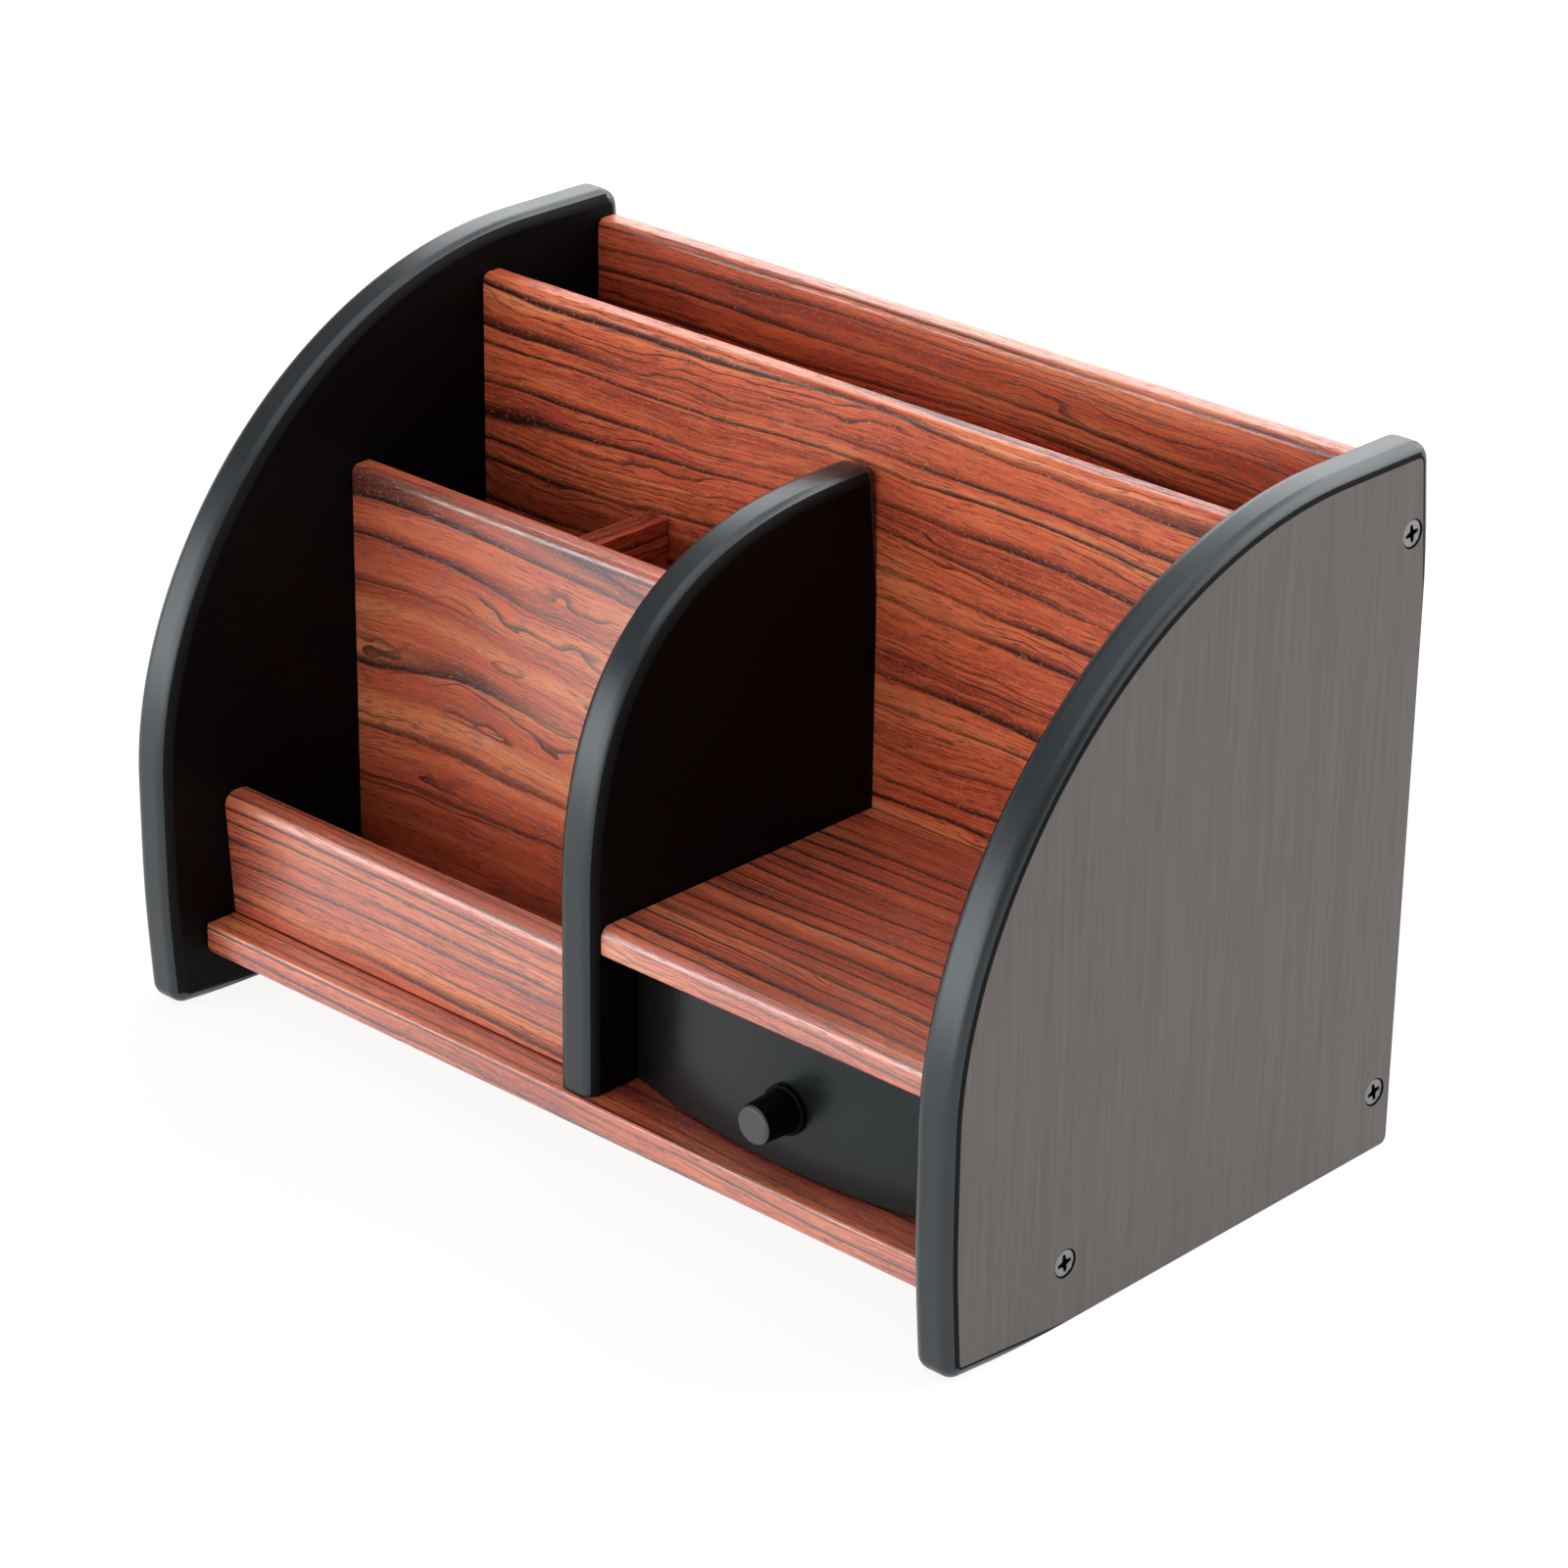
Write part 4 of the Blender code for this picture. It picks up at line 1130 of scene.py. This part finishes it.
@dataclass
class SidePanels:
    """The two arc-fronted side panels and the centre divider.

    Args:
        round_radius: Radius of the arris along the arc.
        round_steps: Facets of that round.
        curve_steps: Chords of the arc.
        corner_steps: Chords of a corner.
        back_corner: Radius of a side panel's upper back corner.
        heel_corner: Radius of its lower back corner.
        toe_corner: Radius of its lower front corner.
        divider_back_corner: Radius of the divider's upper back corner.
        crest_share: Length of the side panel's level top, as a share of its depth.
        crest_pull_share: How far the arc keeps level after it, as a share of the depth.
        nose_height_share: Height of the foremost point, as a share of the height.
        nose_pull_share: How far the arc keeps upright above it, as a share of the height.
        toe_pull_share: How far it keeps upright below it, as a share of the height.
        toe_setback: How far the toe stands behind the foremost point.
        divider_crest_pull_share: As crest_pull_share, of the divider.
        divider_nose_height_share: As nose_height_share, of the divider.
        divider_nose_pull_share: As nose_pull_share, of the divider.
    """

    round_radius: float = 0.0029
    round_steps: int = 8
    curve_steps: int = 72
    corner_steps: int = 8
    back_corner: float = 0.0045
    heel_corner: float = 0.0015
    toe_corner: float = 0.0038
    divider_back_corner: float = 0.0028
    crest_share: float = 0.197
    crest_pull_share: float = 0.469
    nose_height_share: float = 0.337
    nose_pull_share: float = 0.317
    toe_pull_share: float = 0.175
    toe_setback: float = 0.0016
    divider_crest_pull_share: float = 0.266
    divider_nose_height_share: float = 0.372
    divider_nose_pull_share: float = 0.635

    def side_outline(self, low: Vector, high: Vector) -> Profile:
        """Outline of a side panel in (Y, Z): heel, back, crest, arc, nose and toe.

        Args:
            low: The node's lowest corner.
            high: The node's highest corner.

        Returns:
            The outline.
        """
        back, front, top, depth = high.y, low.y, high.z, high.y - low.y
        heel, corner = self.heel_corner, self.back_corner
        crest = (back - self.crest_share * depth, top)
        crest_pull = (crest[0] - self.crest_pull_share * depth, top)
        nose = (front, self.nose_height_share * top)
        nose_pull = (front, nose[1] + self.nose_pull_share * top)
        toe_pull = (front, nose[1] - self.toe_pull_share * top)
        lean = math.atan2(self.toe_setback, toe_pull[1] - self.toe_corner)
        toe_centre = (front + self.toe_setback + self.toe_corner, self.toe_corner)
        toe = arc(toe_centre, self.toe_corner, math.pi + lean, 3 * math.pi / 2, self.corner_steps)
        points = arc((back - heel, heel), heel, -math.pi / 2, 0.0, self.corner_steps)
        points += arc((back - corner, top - corner), corner, 0.0, math.pi / 2, self.corner_steps)
        points += bezier((crest, crest_pull, nose_pull, nose), self.curve_steps)
        points += bezier((nose, toe_pull, toe_pull, toe[0]), 2 * self.corner_steps)
        return points + toe

    def divider_outline(self, low: Vector, high: Vector) -> Profile:
        """Outline of the centre divider in (Y, Z), from its lower back corner.

        Args:
            low: The node's lowest corner.
            high: The node's highest corner.

        Returns:
            The outline.
        """
        back, front, top, seat = high.y, low.y, high.z, low.z
        depth, height, corner = back - front, top - seat, self.divider_back_corner
        crest = (back - corner, top)
        crest_pull = (crest[0] - self.divider_crest_pull_share * depth, top)
        nose = (front, seat + self.divider_nose_height_share * height)
        nose_pull = (front, nose[1] + self.divider_nose_pull_share * height)
        points = [(back, seat)]
        points += arc((back - corner, top - corner), corner, 0.0, math.pi / 2, self.corner_steps)[:-1]
        points += bezier((crest, crest_pull, nose_pull, nose), self.curve_steps)
        return points + [nose, (front, seat)]

    def upright(self, node: str, outline: Profile) -> bpy.types.Mesh:
        """Stands an outline up in the place of its node, with the arris along its arc rounded.

        Args:
            node: The CAD node.
            outline: Its outline.

        Returns:
            The mesh in place.
        """
        low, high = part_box(node)
        mesh = slab(outline, high.x - low.x)
        stand = Matrix(((0, 0, 1, 0), (1, 0, 0, 0), (0, 1, 0, 0), (0, 0, 0, 1)))
        mesh.transform(Matrix.Translation(((low.x + high.x) / 2, 0, 0)) @ stand)
        heel = self.heel_corner

        def on_arc(middle: Vector, direction: Vector) -> bool:
            """Whether an edge belongs to the arc's arris."""
            at_heel = middle.z < low.z + heel and middle.y > high.y - heel
            flat = middle.y > high.y - WELD or middle.z < low.z + WELD
            return abs(direction.x) < 0.5 and not (flat or at_heel)

        return rounded(mesh, self.round_radius, self.round_steps, on_arc)

    def dress(self, screw: WoodScrew, heads: Sequence[tuple[Vector, Vector]],
              coats: dict[PanelFinish, bpy.types.Material]) -> None:
        """Builds the three panels.

        Args:
            screw: The screw that goes through the side panels.
            heads: Where the screws' heads are, and which way they face.
            coats: The materials, in the order of their slots.
        """
        for node, out in (("left_side_panel", -1), ("right_side_panel", 1), ("centre_divider", 0)):
            low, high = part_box(node)
            outline = self.side_outline(low, high) if out else self.divider_outline(low, high)
            mesh = self.upright(node, outline)
            around = [face for face, way in heads if way.x * out > 0.5]
            if around:
                depth = high.x - low.x + CUT_OVERRUN
                mesh = less(mesh, [screw.hole(face, Vector((out, 0, 0)), depth) for face in around])
            self.mark_faces(mesh, out, around, screw.head / 2 + 2 * screw.gap)
            finished_piece(node + "_dressed", soften(mesh), list(coats.values()), Case.FIXED,
                           [node])

    @staticmethod
    def mark_faces(mesh: bpy.types.Mesh, out: int, heads: Sequence[Vector], reach: float) -> None:
        """Gives each face the number of its finish in PanelFinish.

        Args:
            mesh: The panel.
            out: Sign of X on its outer side, or 0 if it has none.
            heads: Where the screws' heads are.
            reach: How far from a head's middle its hole reaches.
        """
        for face in mesh.polygons:
            turn = abs(face.normal.x)
            least = OUTER_PAINTED_SHADE_NORMAL if face.normal.x * out > 0 else INNER_PAINTED_SHADE_NORMAL
            # Normals that lean back or down by more belong to the panel's straight edges.
            # Painted shade: faces of the arc's rounds that turn far enough sideways get the dark finish, in
            # place of their dark reflection.
            on_arc = face.normal.y < BACK_EDGE_NORMAL and face.normal.z > -BACK_EDGE_NORMAL
            finish = PanelFinish.ARRIS if turn > least and on_arc else PanelFinish.BAND
            if turn > FLAT_NORMAL:
                finish = PanelFinish.OUTER if face.normal.x * out > 0 else PanelFinish.INNER
            # Painted shade: faces round each screw head, in its countersunk hole, get the same dark finish.
            elif any((face.center - head).yz.length < reach for head in heads):
                finish = PanelFinish.ARRIS
            face.material_index = finish.value


@dataclass(frozen=True)
class BoardPlan:
    """How one board is made.

    Args:
        node: Its CAD node.
        veneer: Its finish.
        side: Which side is rounded.
        radii: Radius of the rounded upper edges and of the rounded lower ones.
        lean: How much further forward its top stands.
    """

    node: str
    veneer: RosewoodVeneer
    side: RoundedSide = RoundedSide.TOP
    radii: tuple[float, float] = (0.0018, 0.0018)
    lean: float = 0.0


@dataclass
class Boards:
    """Base, back board, dividers, fence, partition and shelf.

    Args:
        maker: What draws the boards.
        plans: The boards.
    """

    maker: BoardMaker = field(default_factory=BoardMaker)
    plans: Sequence[BoardPlan] = ()

    def dress(self, screw: WoodScrew, heads: Sequence[tuple[Vector, Vector]]) -> None:
        """Builds every board.

        Args:
            screw: The screw that goes up through the base.
            heads: Where the screws' heads are, and which way they face.
        """
        for plan in self.plans:
            low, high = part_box(plan.node)
            material = plan.veneer.material()
            mesh = self.maker.mesh(low, high, plan.radii, plan.side, plan.lean, material)
            if plan.node == "base_board":
                depth = high.z - low.z + CUT_OVERRUN
                mesh = less(mesh, [screw.hole(face, way, depth) for face, way in heads if way.z < -0.5])
            finished_piece(plan.node + "_dressed", soften(mesh), [material], Case.FIXED,
                           [plan.node])


@dataclass
class CaseScrews:
    """Screws through the side panels and up through the base board.

    Args:
        screw: Their shape.
        play: How far a cross turns either way from straight.
        seed: Which turns the crosses get.
        ways: Direction out of the surface, by the start of the screw's name.
    """

    screw: WoodScrew = field(default_factory=WoodScrew)
    play: float = math.radians(6)
    seed: int = 4
    ways: ClassVar[dict[str, Vector]] = {
        "left_panel": Vector((-1, 0, 0)), "right_panel": Vector((1, 0, 0)),
        "centre_divider": Vector((0, 0, -1)), "main_divider": Vector((0, 0, -1))}

    def nodes(self) -> list[str]:
        """Names of the screws' CAD nodes."""
        return sorted(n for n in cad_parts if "_screw_" in n)

    def heads(self) -> list[tuple[Vector, Vector]]:
        """Where each screw meets the surface, and the direction out of it.

        Returns:
            A place and a direction for each screw.
        """
        found = []
        for node in self.nodes():
            way = next(v for k, v in self.ways.items() if node.startswith(k))
            low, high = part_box(node)
            middle = (low + high) / 2
            reach = abs((high - low).dot(way)) / 2
            found.append((middle + way * (reach + self.screw.sink), way))
        return found

    def build_tree(self, nodes: NodeModifier) -> bpy.types.NodeTree:
        """Builds the tree that sets a screw on each point, turned to the point's direction.

        Args:
            nodes: The tree's inputs.

        Returns:
            The finished tree.
        """
        wiring, given, taken = nodes.wiring()
        shape = wiring.node("GeometryNodeObjectInfo", {"Object": given["Screw"], "As Instance": True})
        way = wiring.node("GeometryNodeInputNamedAttribute", {"Name": "way"}, data_type="FLOAT_VECTOR")
        turn = wiring.node("FunctionNodeAlignRotationToVector", {"Vector": way.outputs["Attribute"]},
                           axis="Z")
        points = wiring.out("GeometryNodeMeshToPoints", {"Mesh": given["Geometry"]})
        set_on = wiring.out("GeometryNodeInstanceOnPoints", {
            "Points": points, "Instance": shape.outputs["Geometry"], "Rotation": turn.outputs["Rotation"]})
        spin = wiring.node("FunctionNodeRandomValue", {
            2: given["Least Turn"], 3: given["Most Turn"], "Seed": given["Seed"]}, data_type="FLOAT")
        spun = wiring.out("GeometryNodeRotateInstances", {
            "Instances": set_on, "Rotation": wiring.point(0.0, 0.0, spin.outputs[1]), "Local Space": True})
        real = wiring.out("GeometryNodeRealizeInstances", {"Geometry": spun})
        dressed = wiring.out("GeometryNodeSetMaterial", {"Geometry": real, "Material": given["Material"]})
        # Painted shade: the marked recess faces take a dark finish in place of the shade inside the cross.
        recess = wiring.node("GeometryNodeInputNamedAttribute", {"Name": "recess"}, data_type="BOOLEAN")
        wiring.feed(taken.inputs[0], wiring.out("GeometryNodeSetMaterial", {
            "Geometry": dressed, "Selection": recess.outputs["Attribute"],
            "Material": given["Recess Material"]}))
        return wiring.tree

    def dress(self, steel: bpy.types.Material, shade: bpy.types.Material) -> None:
        """Sets the screws as one mesh.

        Args:
            steel: Their material.
            shade: Painted shade of the cross recess, a dark finish that stands in for the shade inside it.
        """
        nodes = NodeModifier("screws_on_points", {
            "Screw": "NodeSocketObject", "Least Turn": "NodeSocketFloat", "Most Turn": "NodeSocketFloat",
            "Seed": "NodeSocketInt", "Material": "NodeSocketMaterial",
            "Recess Material": "NodeSocketMaterial"})
        heads = self.heads()
        points = bpy.data.meshes.new("screw_places")
        points.from_pydata([face - way * self.screw.sink for face, way in heads], [], [])
        ways = points.attributes.new("way", "FLOAT_VECTOR", "POINT")
        for item, (_, way) in zip(ways.data, heads):
            item.vector = way
        shape = added("one_screw", self.screw.mesh())
        mesh = nodes.run(self.build_tree(nodes), points, {
            "Screw": shape, "Least Turn": -self.play, "Most Turn": self.play, "Seed": self.seed,
            "Material": steel, "Recess Material": shade})
        drop(shape)
        finished_piece("case_screws_dressed", soften(mesh), list(mesh.materials), Case.FIXED,
                       self.nodes())


@dataclass
class Drawer:
    """Bowed front, box and knob of the drawer.

    Args:
        bow: How far the front's middle stands forward of its ends.
        ease: Radius of the front's arrises.
        bow_steps: Chords of the bow.
        ease_steps: Facets of its arrises.
        thin_ease: Radius of the box's rounded edges.
        knob_chamfer: Width of the chamfer round the knob's cap.
        knob_tip: Diameter of the cap.
        knob_foot: Diameter of the knob above its collar.
        knob_collar_height: Height of the collar.
        knob_collar_round: Radius of the collar's edge.
        knob_steps: Steps round the knob.
    """

    bow: float = 0.0067
    ease: float = 0.0008
    bow_steps: int = 64
    ease_steps: int = 4
    thin_ease: float = 0.0004
    knob_chamfer: float = 0.0005
    knob_tip: float = 0.0083
    knob_foot: float = 0.0091
    knob_collar_height: float = 0.0009
    knob_collar_round: float = 0.0004
    knob_steps: int = 64

    def front(self, lacquer: bpy.types.Material) -> None:
        """The bowed front."""
        low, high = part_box("drawer_front")
        half = (high.x - low.x) / 2
        radius = (half * half + self.bow * self.bow) / (2 * self.bow)
        sweep = math.asin(half / radius)
        middle = (low.x + high.x) / 2
        down = -math.pi / 2
        outline = arc((middle, low.y + radius), radius, down - sweep, down + sweep, self.bow_steps)
        outline += [(high.x, high.y), (low.x, high.y)]
        mesh = slab(outline, high.z - low.z)
        mesh.transform(Matrix.Translation((0, 0, (low.z + high.z) / 2)))

        def on_bow(place: Vector, direction: Vector) -> bool:
            """Whether an edge belongs to the bow's arris."""
            inside = place.y < high.y - WELD and abs(place.x - middle) < half - WELD
            return inside and abs(direction.z) < 0.5

        mesh = soften(rounded(mesh, self.ease, self.ease_steps, on_bow))
        finished_piece("drawer_front_dressed", mesh, [lacquer], Case.DRAWER, ["drawer_front"])

    def box(self, maker: BoardMaker, lacquer: bpy.types.Material) -> None:
        """Sides, back and bottom with eased edges."""
        for node in ("drawer_left_side", "drawer_right_side", "drawer_back", "drawer_bottom"):
            low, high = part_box(node)
            side = RoundedSide.NOWHERE if node == "drawer_bottom" else RoundedSide.TOP
            mesh = maker.mesh(low, high, (self.thin_ease, self.thin_ease), side, 0.0, lacquer)
            finished_piece(node + "_dressed", soften(mesh), [lacquer], Case.DRAWER, [node])

    def knob(self, cap_painted_sheen: bpy.types.Material, side_painted_shade: bpy.types.Material) -> None:
        """The turned knob, with its foot towards the front."""
        low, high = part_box("drawer_knob")
        length, collar = high.y - low.y, (high.x - low.x) / 2
        foot, tip, chamfer = self.knob_foot / 2, self.knob_tip / 2, self.knob_chamfer
        ease, shelf = self.knob_collar_round, self.knob_collar_height
        flat, crown = tip - 1.6 * chamfer, chamfer * 0.5
        profile = [(0.0, length), (flat, length)]
        profile += arc((flat, length - crown), crown, math.pi / 2, math.pi / 4, 3)[1:]
        profile += [(tip - chamfer * 0.15, length - chamfer), (tip, length - 1.4 * chamfer), (foot, shelf)]
        profile += arc((collar - ease, shelf - ease), ease, math.pi / 2, 0.0, 4)
        profile += [(collar, 0.0), (0.0, 0.0)]
        mesh = turned(profile, self.knob_steps)
        seat = Vector(((low.x + high.x) / 2, high.y, (low.z + high.z) / 2))
        mesh.transform(facing(Vector((0, -1, 0)), seat))
        # Painted light: the front-facing cap gets a lighter lacquer, a painted reflection, and the sides a
        # near-black one, painted shade.
        for face in mesh.polygons:
            on_cap = face.normal.y < -0.6 and face.center.y < high.y - length / 2
            face.material_index = 0 if on_cap else 1
        finished_piece("drawer_knob_dressed", soften(mesh), [cap_painted_sheen, side_painted_shade], Case.DRAWER,
                       ["drawer_knob"])


@dataclass
class Studio:
    """Floor, light and camera.

    Args:
        eye: Where the camera stands.
        look: Which way it looks.
        roll: Its turn about that line.
        lens: Focal length on the sensor's width.
        sensor: The sensor's width.
        floor_size: Width of the floor.
        floor_glow: How much light of its own the floor shows to the camera.
        floor_matt: Brightness of the floor that throws light on the object.
        floor_pale: Brightness of the floor that takes the shadow.
        ambient: Strength of the light from all round.
        ceiling: Brightness of what stands for the ceiling.
        wall_top: How high the walls start and end to turn into the ceiling, as angles.
        aim: What the lamps point at.
    """

    eye: Vector = field(default_factory=lambda: Vector((0.6362, -0.6739, 0.4893)))
    look: Vector = field(default_factory=lambda: Vector((-0.61951, 0.66559, -0.41616)))
    roll: float = math.radians(0.748)
    lens: float = 115.18
    sensor: float = 36.0
    floor_size: float = 12.0
    floor_glow: float = 0.89
    floor_matt: float = 0.80
    floor_pale: float = 0.15
    ambient: float = 0.05
    ceiling: float = 0.25
    wall_top: tuple[float, float] = (math.radians(3), math.radians(18))
    aim: Vector = field(default_factory=lambda: Vector((0.0, 0.0, 0.07)))

    def camera(self) -> None:
        """Places the camera."""
        data = bpy.data.cameras.new("camera")
        data.lens = self.lens
        data.sensor_width = self.sensor
        data.clip_start = 0.01
        data.clip_end = 50.0
        obj = added("camera", data)
        turn = self.look.to_track_quat("-Z", "Y").to_matrix().to_4x4()
        obj.matrix_world = Matrix.Translation(self.eye) @ turn @ Matrix.Rotation(self.roll, 4, "Z")
        bpy.context.scene.camera = obj

    def by_ray(self, wiring: Wiring, falling: Socket, seen: Socket) -> Socket:
        """Shader for light that falls on things, and another that the camera, mirrors and glass see.

        Args:
            wiring: The material's or the world's wiring.
            falling: The shader that lights things.
            seen: The shader that is seen directly.

        Returns:
            The mixed shader's socket.
        """
        path = wiring.node("ShaderNodeLightPath").outputs
        direct = wiring.math("MAXIMUM", path["Is Camera Ray"], path["Is Glossy Ray"])
        direct = wiring.math("MAXIMUM", direct, path["Is Transmission Ray"])
        return wiring.out("ShaderNodeMixShader", {0: direct, 1: falling, 2: seen})

    def floor(self) -> None:
        """A wide pale floor that keeps the object's shadow."""
        mesh = bpy.data.meshes.new("floor")
        bm = bmesh.new()
        bmesh.ops.create_grid(bm, x_segments=1, y_segments=1, size=self.floor_size / 2)
        bm.to_mesh(mesh)
        bm.free()
        material = bpy.data.materials.new("pale_floor")
        material.use_nodes = True
        wiring = Wiring(material.node_tree)
        wiring.tree.nodes.clear()
        out = wiring.node("ShaderNodeOutputMaterial")
        matt, pale = (wiring.out("ShaderNodeBsdfDiffuse", {"Color": (grey, grey, grey, 1.0)})
                      for grey in (self.floor_matt, self.floor_pale))
        glow = wiring.out("ShaderNodeEmission", {"Color": WHITE, "Strength": self.floor_glow})
        seen = wiring.out("ShaderNodeAddShader", {0: pale, 1: glow})
        wiring.feed(out.inputs["Surface"], self.by_ray(wiring, matt, seen))
        mesh.materials.append(material)
        added("floor", mesh)

    def world(self) -> None:
        """Weak light from all round; what the camera and mirrors see is white walls and a grey ceiling."""
        world = bpy.data.worlds.new("studio")
        bpy.context.scene.world = world
        world.use_nodes = True
        wiring = Wiring(world.node_tree)
        wiring.tree.nodes.clear()
        out = wiring.node("ShaderNodeOutputWorld")
        way = wiring.node("ShaderNodeTexCoord").outputs["Generated"]
        rise = wiring.node("ShaderNodeSeparateXYZ", {0: way}).outputs[2]
        low, high = (math.sin(angle) for angle in self.wall_top)
        walls = wiring.span(rise, low, high, 1.0, self.ceiling, True)
        soft, white = (wiring.out("ShaderNodeBackground", {"Color": WHITE, "Strength": strength})
                       for strength in (self.ambient, walls))
        wiring.feed(out.inputs["Surface"], self.by_ray(wiring, soft, white))

    def lamp(self, name: str, place: Vector, size: tuple[float, float], power: float) -> None:
        """A soft lamp that points at the aim.

        Args:
            name: Its name.
            place: Where it hangs.
            size: Its width and its height.
            power: Its power in watts.
        """
        data = bpy.data.lights.new(name, "AREA")
        data.shape = "RECTANGLE"
        data.size, data.size_y = size
        data.energy = power
        obj = added(name, data)
        turn = (self.aim - place).to_track_quat("-Z", "Y").to_matrix().to_4x4()
        obj.matrix_world = Matrix.Translation(place) @ turn

    def build(self) -> None:
        """Sets up the whole studio."""
        self.camera()
        self.floor()
        self.world()
        for name, place, size, power in (
                ("front_softbox", (-0.45, -1.55, 0.44), (3.0, 0.9), 26.0),
                ("back_left_softbox", (-1.00, 1.30, 0.98), (1.3, 1.2), 14.0),
                ("back_right_softbox", (0.60, 1.45, 1.15), (2.0, 1.6), 38.0),
                ("high_softbox", (0.0, -0.10, 1.80), (2.0, 2.0), 16.0),
                ("side_softbox", (1.50, 0.50, 0.90), (0.8, 0.8), 3.0)):
            self.lamp(name, Vector(place), size, power)


def veneered_boards() -> list[BoardPlan]:
    """The boards and their finishes.

    Returns:
        One plan for each board.
    """
    return [
        BoardPlan("base_board", RosewoodVeneer("base_veneer", (0.31, 0.12, 0.0), spacing=0.0034,
                                               waviness=0.002, ior=2.4),
                  RoundedSide.FRONT, (0.0007, 0.0026)),
        BoardPlan("back_board", RosewoodVeneer("back_veneer", (0.93, 0.55, 0.0), spacing=0.0062,
                                               waviness=0.003, ior=1.9)),
        BoardPlan("main_divider_board", RosewoodVeneer("main_divider_veneer", (0.05, 0.31, 0.0),
                                                       spacing=0.0070)),
        BoardPlan("pen_divider_board", RosewoodVeneer("pen_divider_veneer", (0.47, 0.83, 0.0), spacing=0.0140,
                                                      swirl=0.9, arch=(0.004, 0.395), ior=2.4,
                                                      polish=0.03)),
        BoardPlan("front_fence", RosewoodVeneer("fence_veneer", (1.37, 0.21, 0.0), spacing=0.0036,
                                                waviness=0.0015, ior=2.5),
                  RoundedSide.TOP, (0.0031, 0.0031), 0.0019),
        BoardPlan("pen_partition", RosewoodVeneer("partition_veneer", (0.71, 0.62, 0.0), spacing=0.0060,
                                                  way=GrainWay.FRONT_TO_BACK), RoundedSide.NOWHERE),
        BoardPlan("drawer_shelf", RosewoodVeneer("shelf_veneer", (0.19, 1.12, 0.0), spacing=0.0046,
                                                 waviness=0.003, ior=2.5),
                  RoundedSide.FRONT, (0.0024, 0.0008)),
    ]


def dress_carried_nodes(beech: bpy.types.Material, steel: bpy.types.Material) -> None:
    """Gives the dowels and the knob screw, which keep their CAD shape, their finishes.

    Args:
        beech: The dowels' finish.
        steel: The knob screw's finish.
    """
    for name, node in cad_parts.items():
        finish = beech if "dowel" in name else steel if name == "knob_screw" else None
        if finish:
            for place in node.material_slots:
                place.material = finish
            LOG.info("%s: carried over with %s", name, finish.name)


def main() -> None:
    """Builds the studio and every sub-assembly."""
    logging.basicConfig(level=logging.INFO, format="%(message)s")
    Studio().build()
    finishes = {
        PanelFinish.BAND: SatinLacquer("panel_edge_lacquer", (0.012, 0.013, 0.015), (0.007, 0.008, 0.009),
                                       0.34, 1.62, tint=(0.86, 0.95, 1.0)),
        PanelFinish.OUTER: GrainedLaminate("panel_laminate", (0.103, 0.085, 0.078), (0.076, 0.062, 0.057),
                                           0.45, 1.6),
        PanelFinish.INNER: SatinLacquer("panel_inner_lacquer", (0.0022, 0.0022, 0.0022),
                                        (0.0012, 0.0012, 0.0012), 0.5, 1.3, 0.15),
        # Painted shade: a darker, matter copy of the edge lacquer for the sideways-turned rounds, the screw
        # holes and the screws' cross recesses.
        PanelFinish.ARRIS: SatinLacquer("panel_arris_lacquer", (0.009, 0.010, 0.010),
                                        (0.005, 0.005, 0.005), 0.6, 1.3, 0.2),
    }
    coats = {place: finish.material() for place, finish in finishes.items()}
    drawer_lacquer = SatinLacquer("drawer_lacquer", (0.006, 0.007, 0.007), (0.003, 0.004, 0.004), 0.32, 1.43,
                                  tint=(0.88, 0.98, 1.0), tooth=0.0008, relief=0.00004).material()
    # Painted reflection: a lighter copy of the black lacquer for the knob's front-facing cap.
    cap_painted_sheen_lacquer = SatinLacquer("knob_cap_lacquer", (0.020, 0.021, 0.024), (0.012, 0.012, 0.014), 0.38, 1.8,
                               tint=(0.92, 0.96, 1.0)).material()
    steel = ZincSteel().material()
    case_screws = CaseScrews()
    heads = case_screws.heads()
    SidePanels().dress(case_screws.screw, heads, coats)
    boards = Boards(plans=veneered_boards())
    boards.dress(case_screws.screw, heads)
    # The screws' cross recesses get the painted shade finish.
    case_screws.dress(steel, coats[PanelFinish.ARRIS])
    drawer = Drawer()
    drawer.front(drawer_lacquer)
    drawer.box(boards.maker, drawer_lacquer)
    # The knob's sides reuse the near-black inner lacquer as painted shade.
    drawer.knob(cap_painted_sheen_lacquer, coats[PanelFinish.INNER])
    dress_carried_nodes(BeechWood().material(), steel)
    bpy.context.scene.view_settings.view_transform = "Standard"


if __name__ == "__main__":
    main()
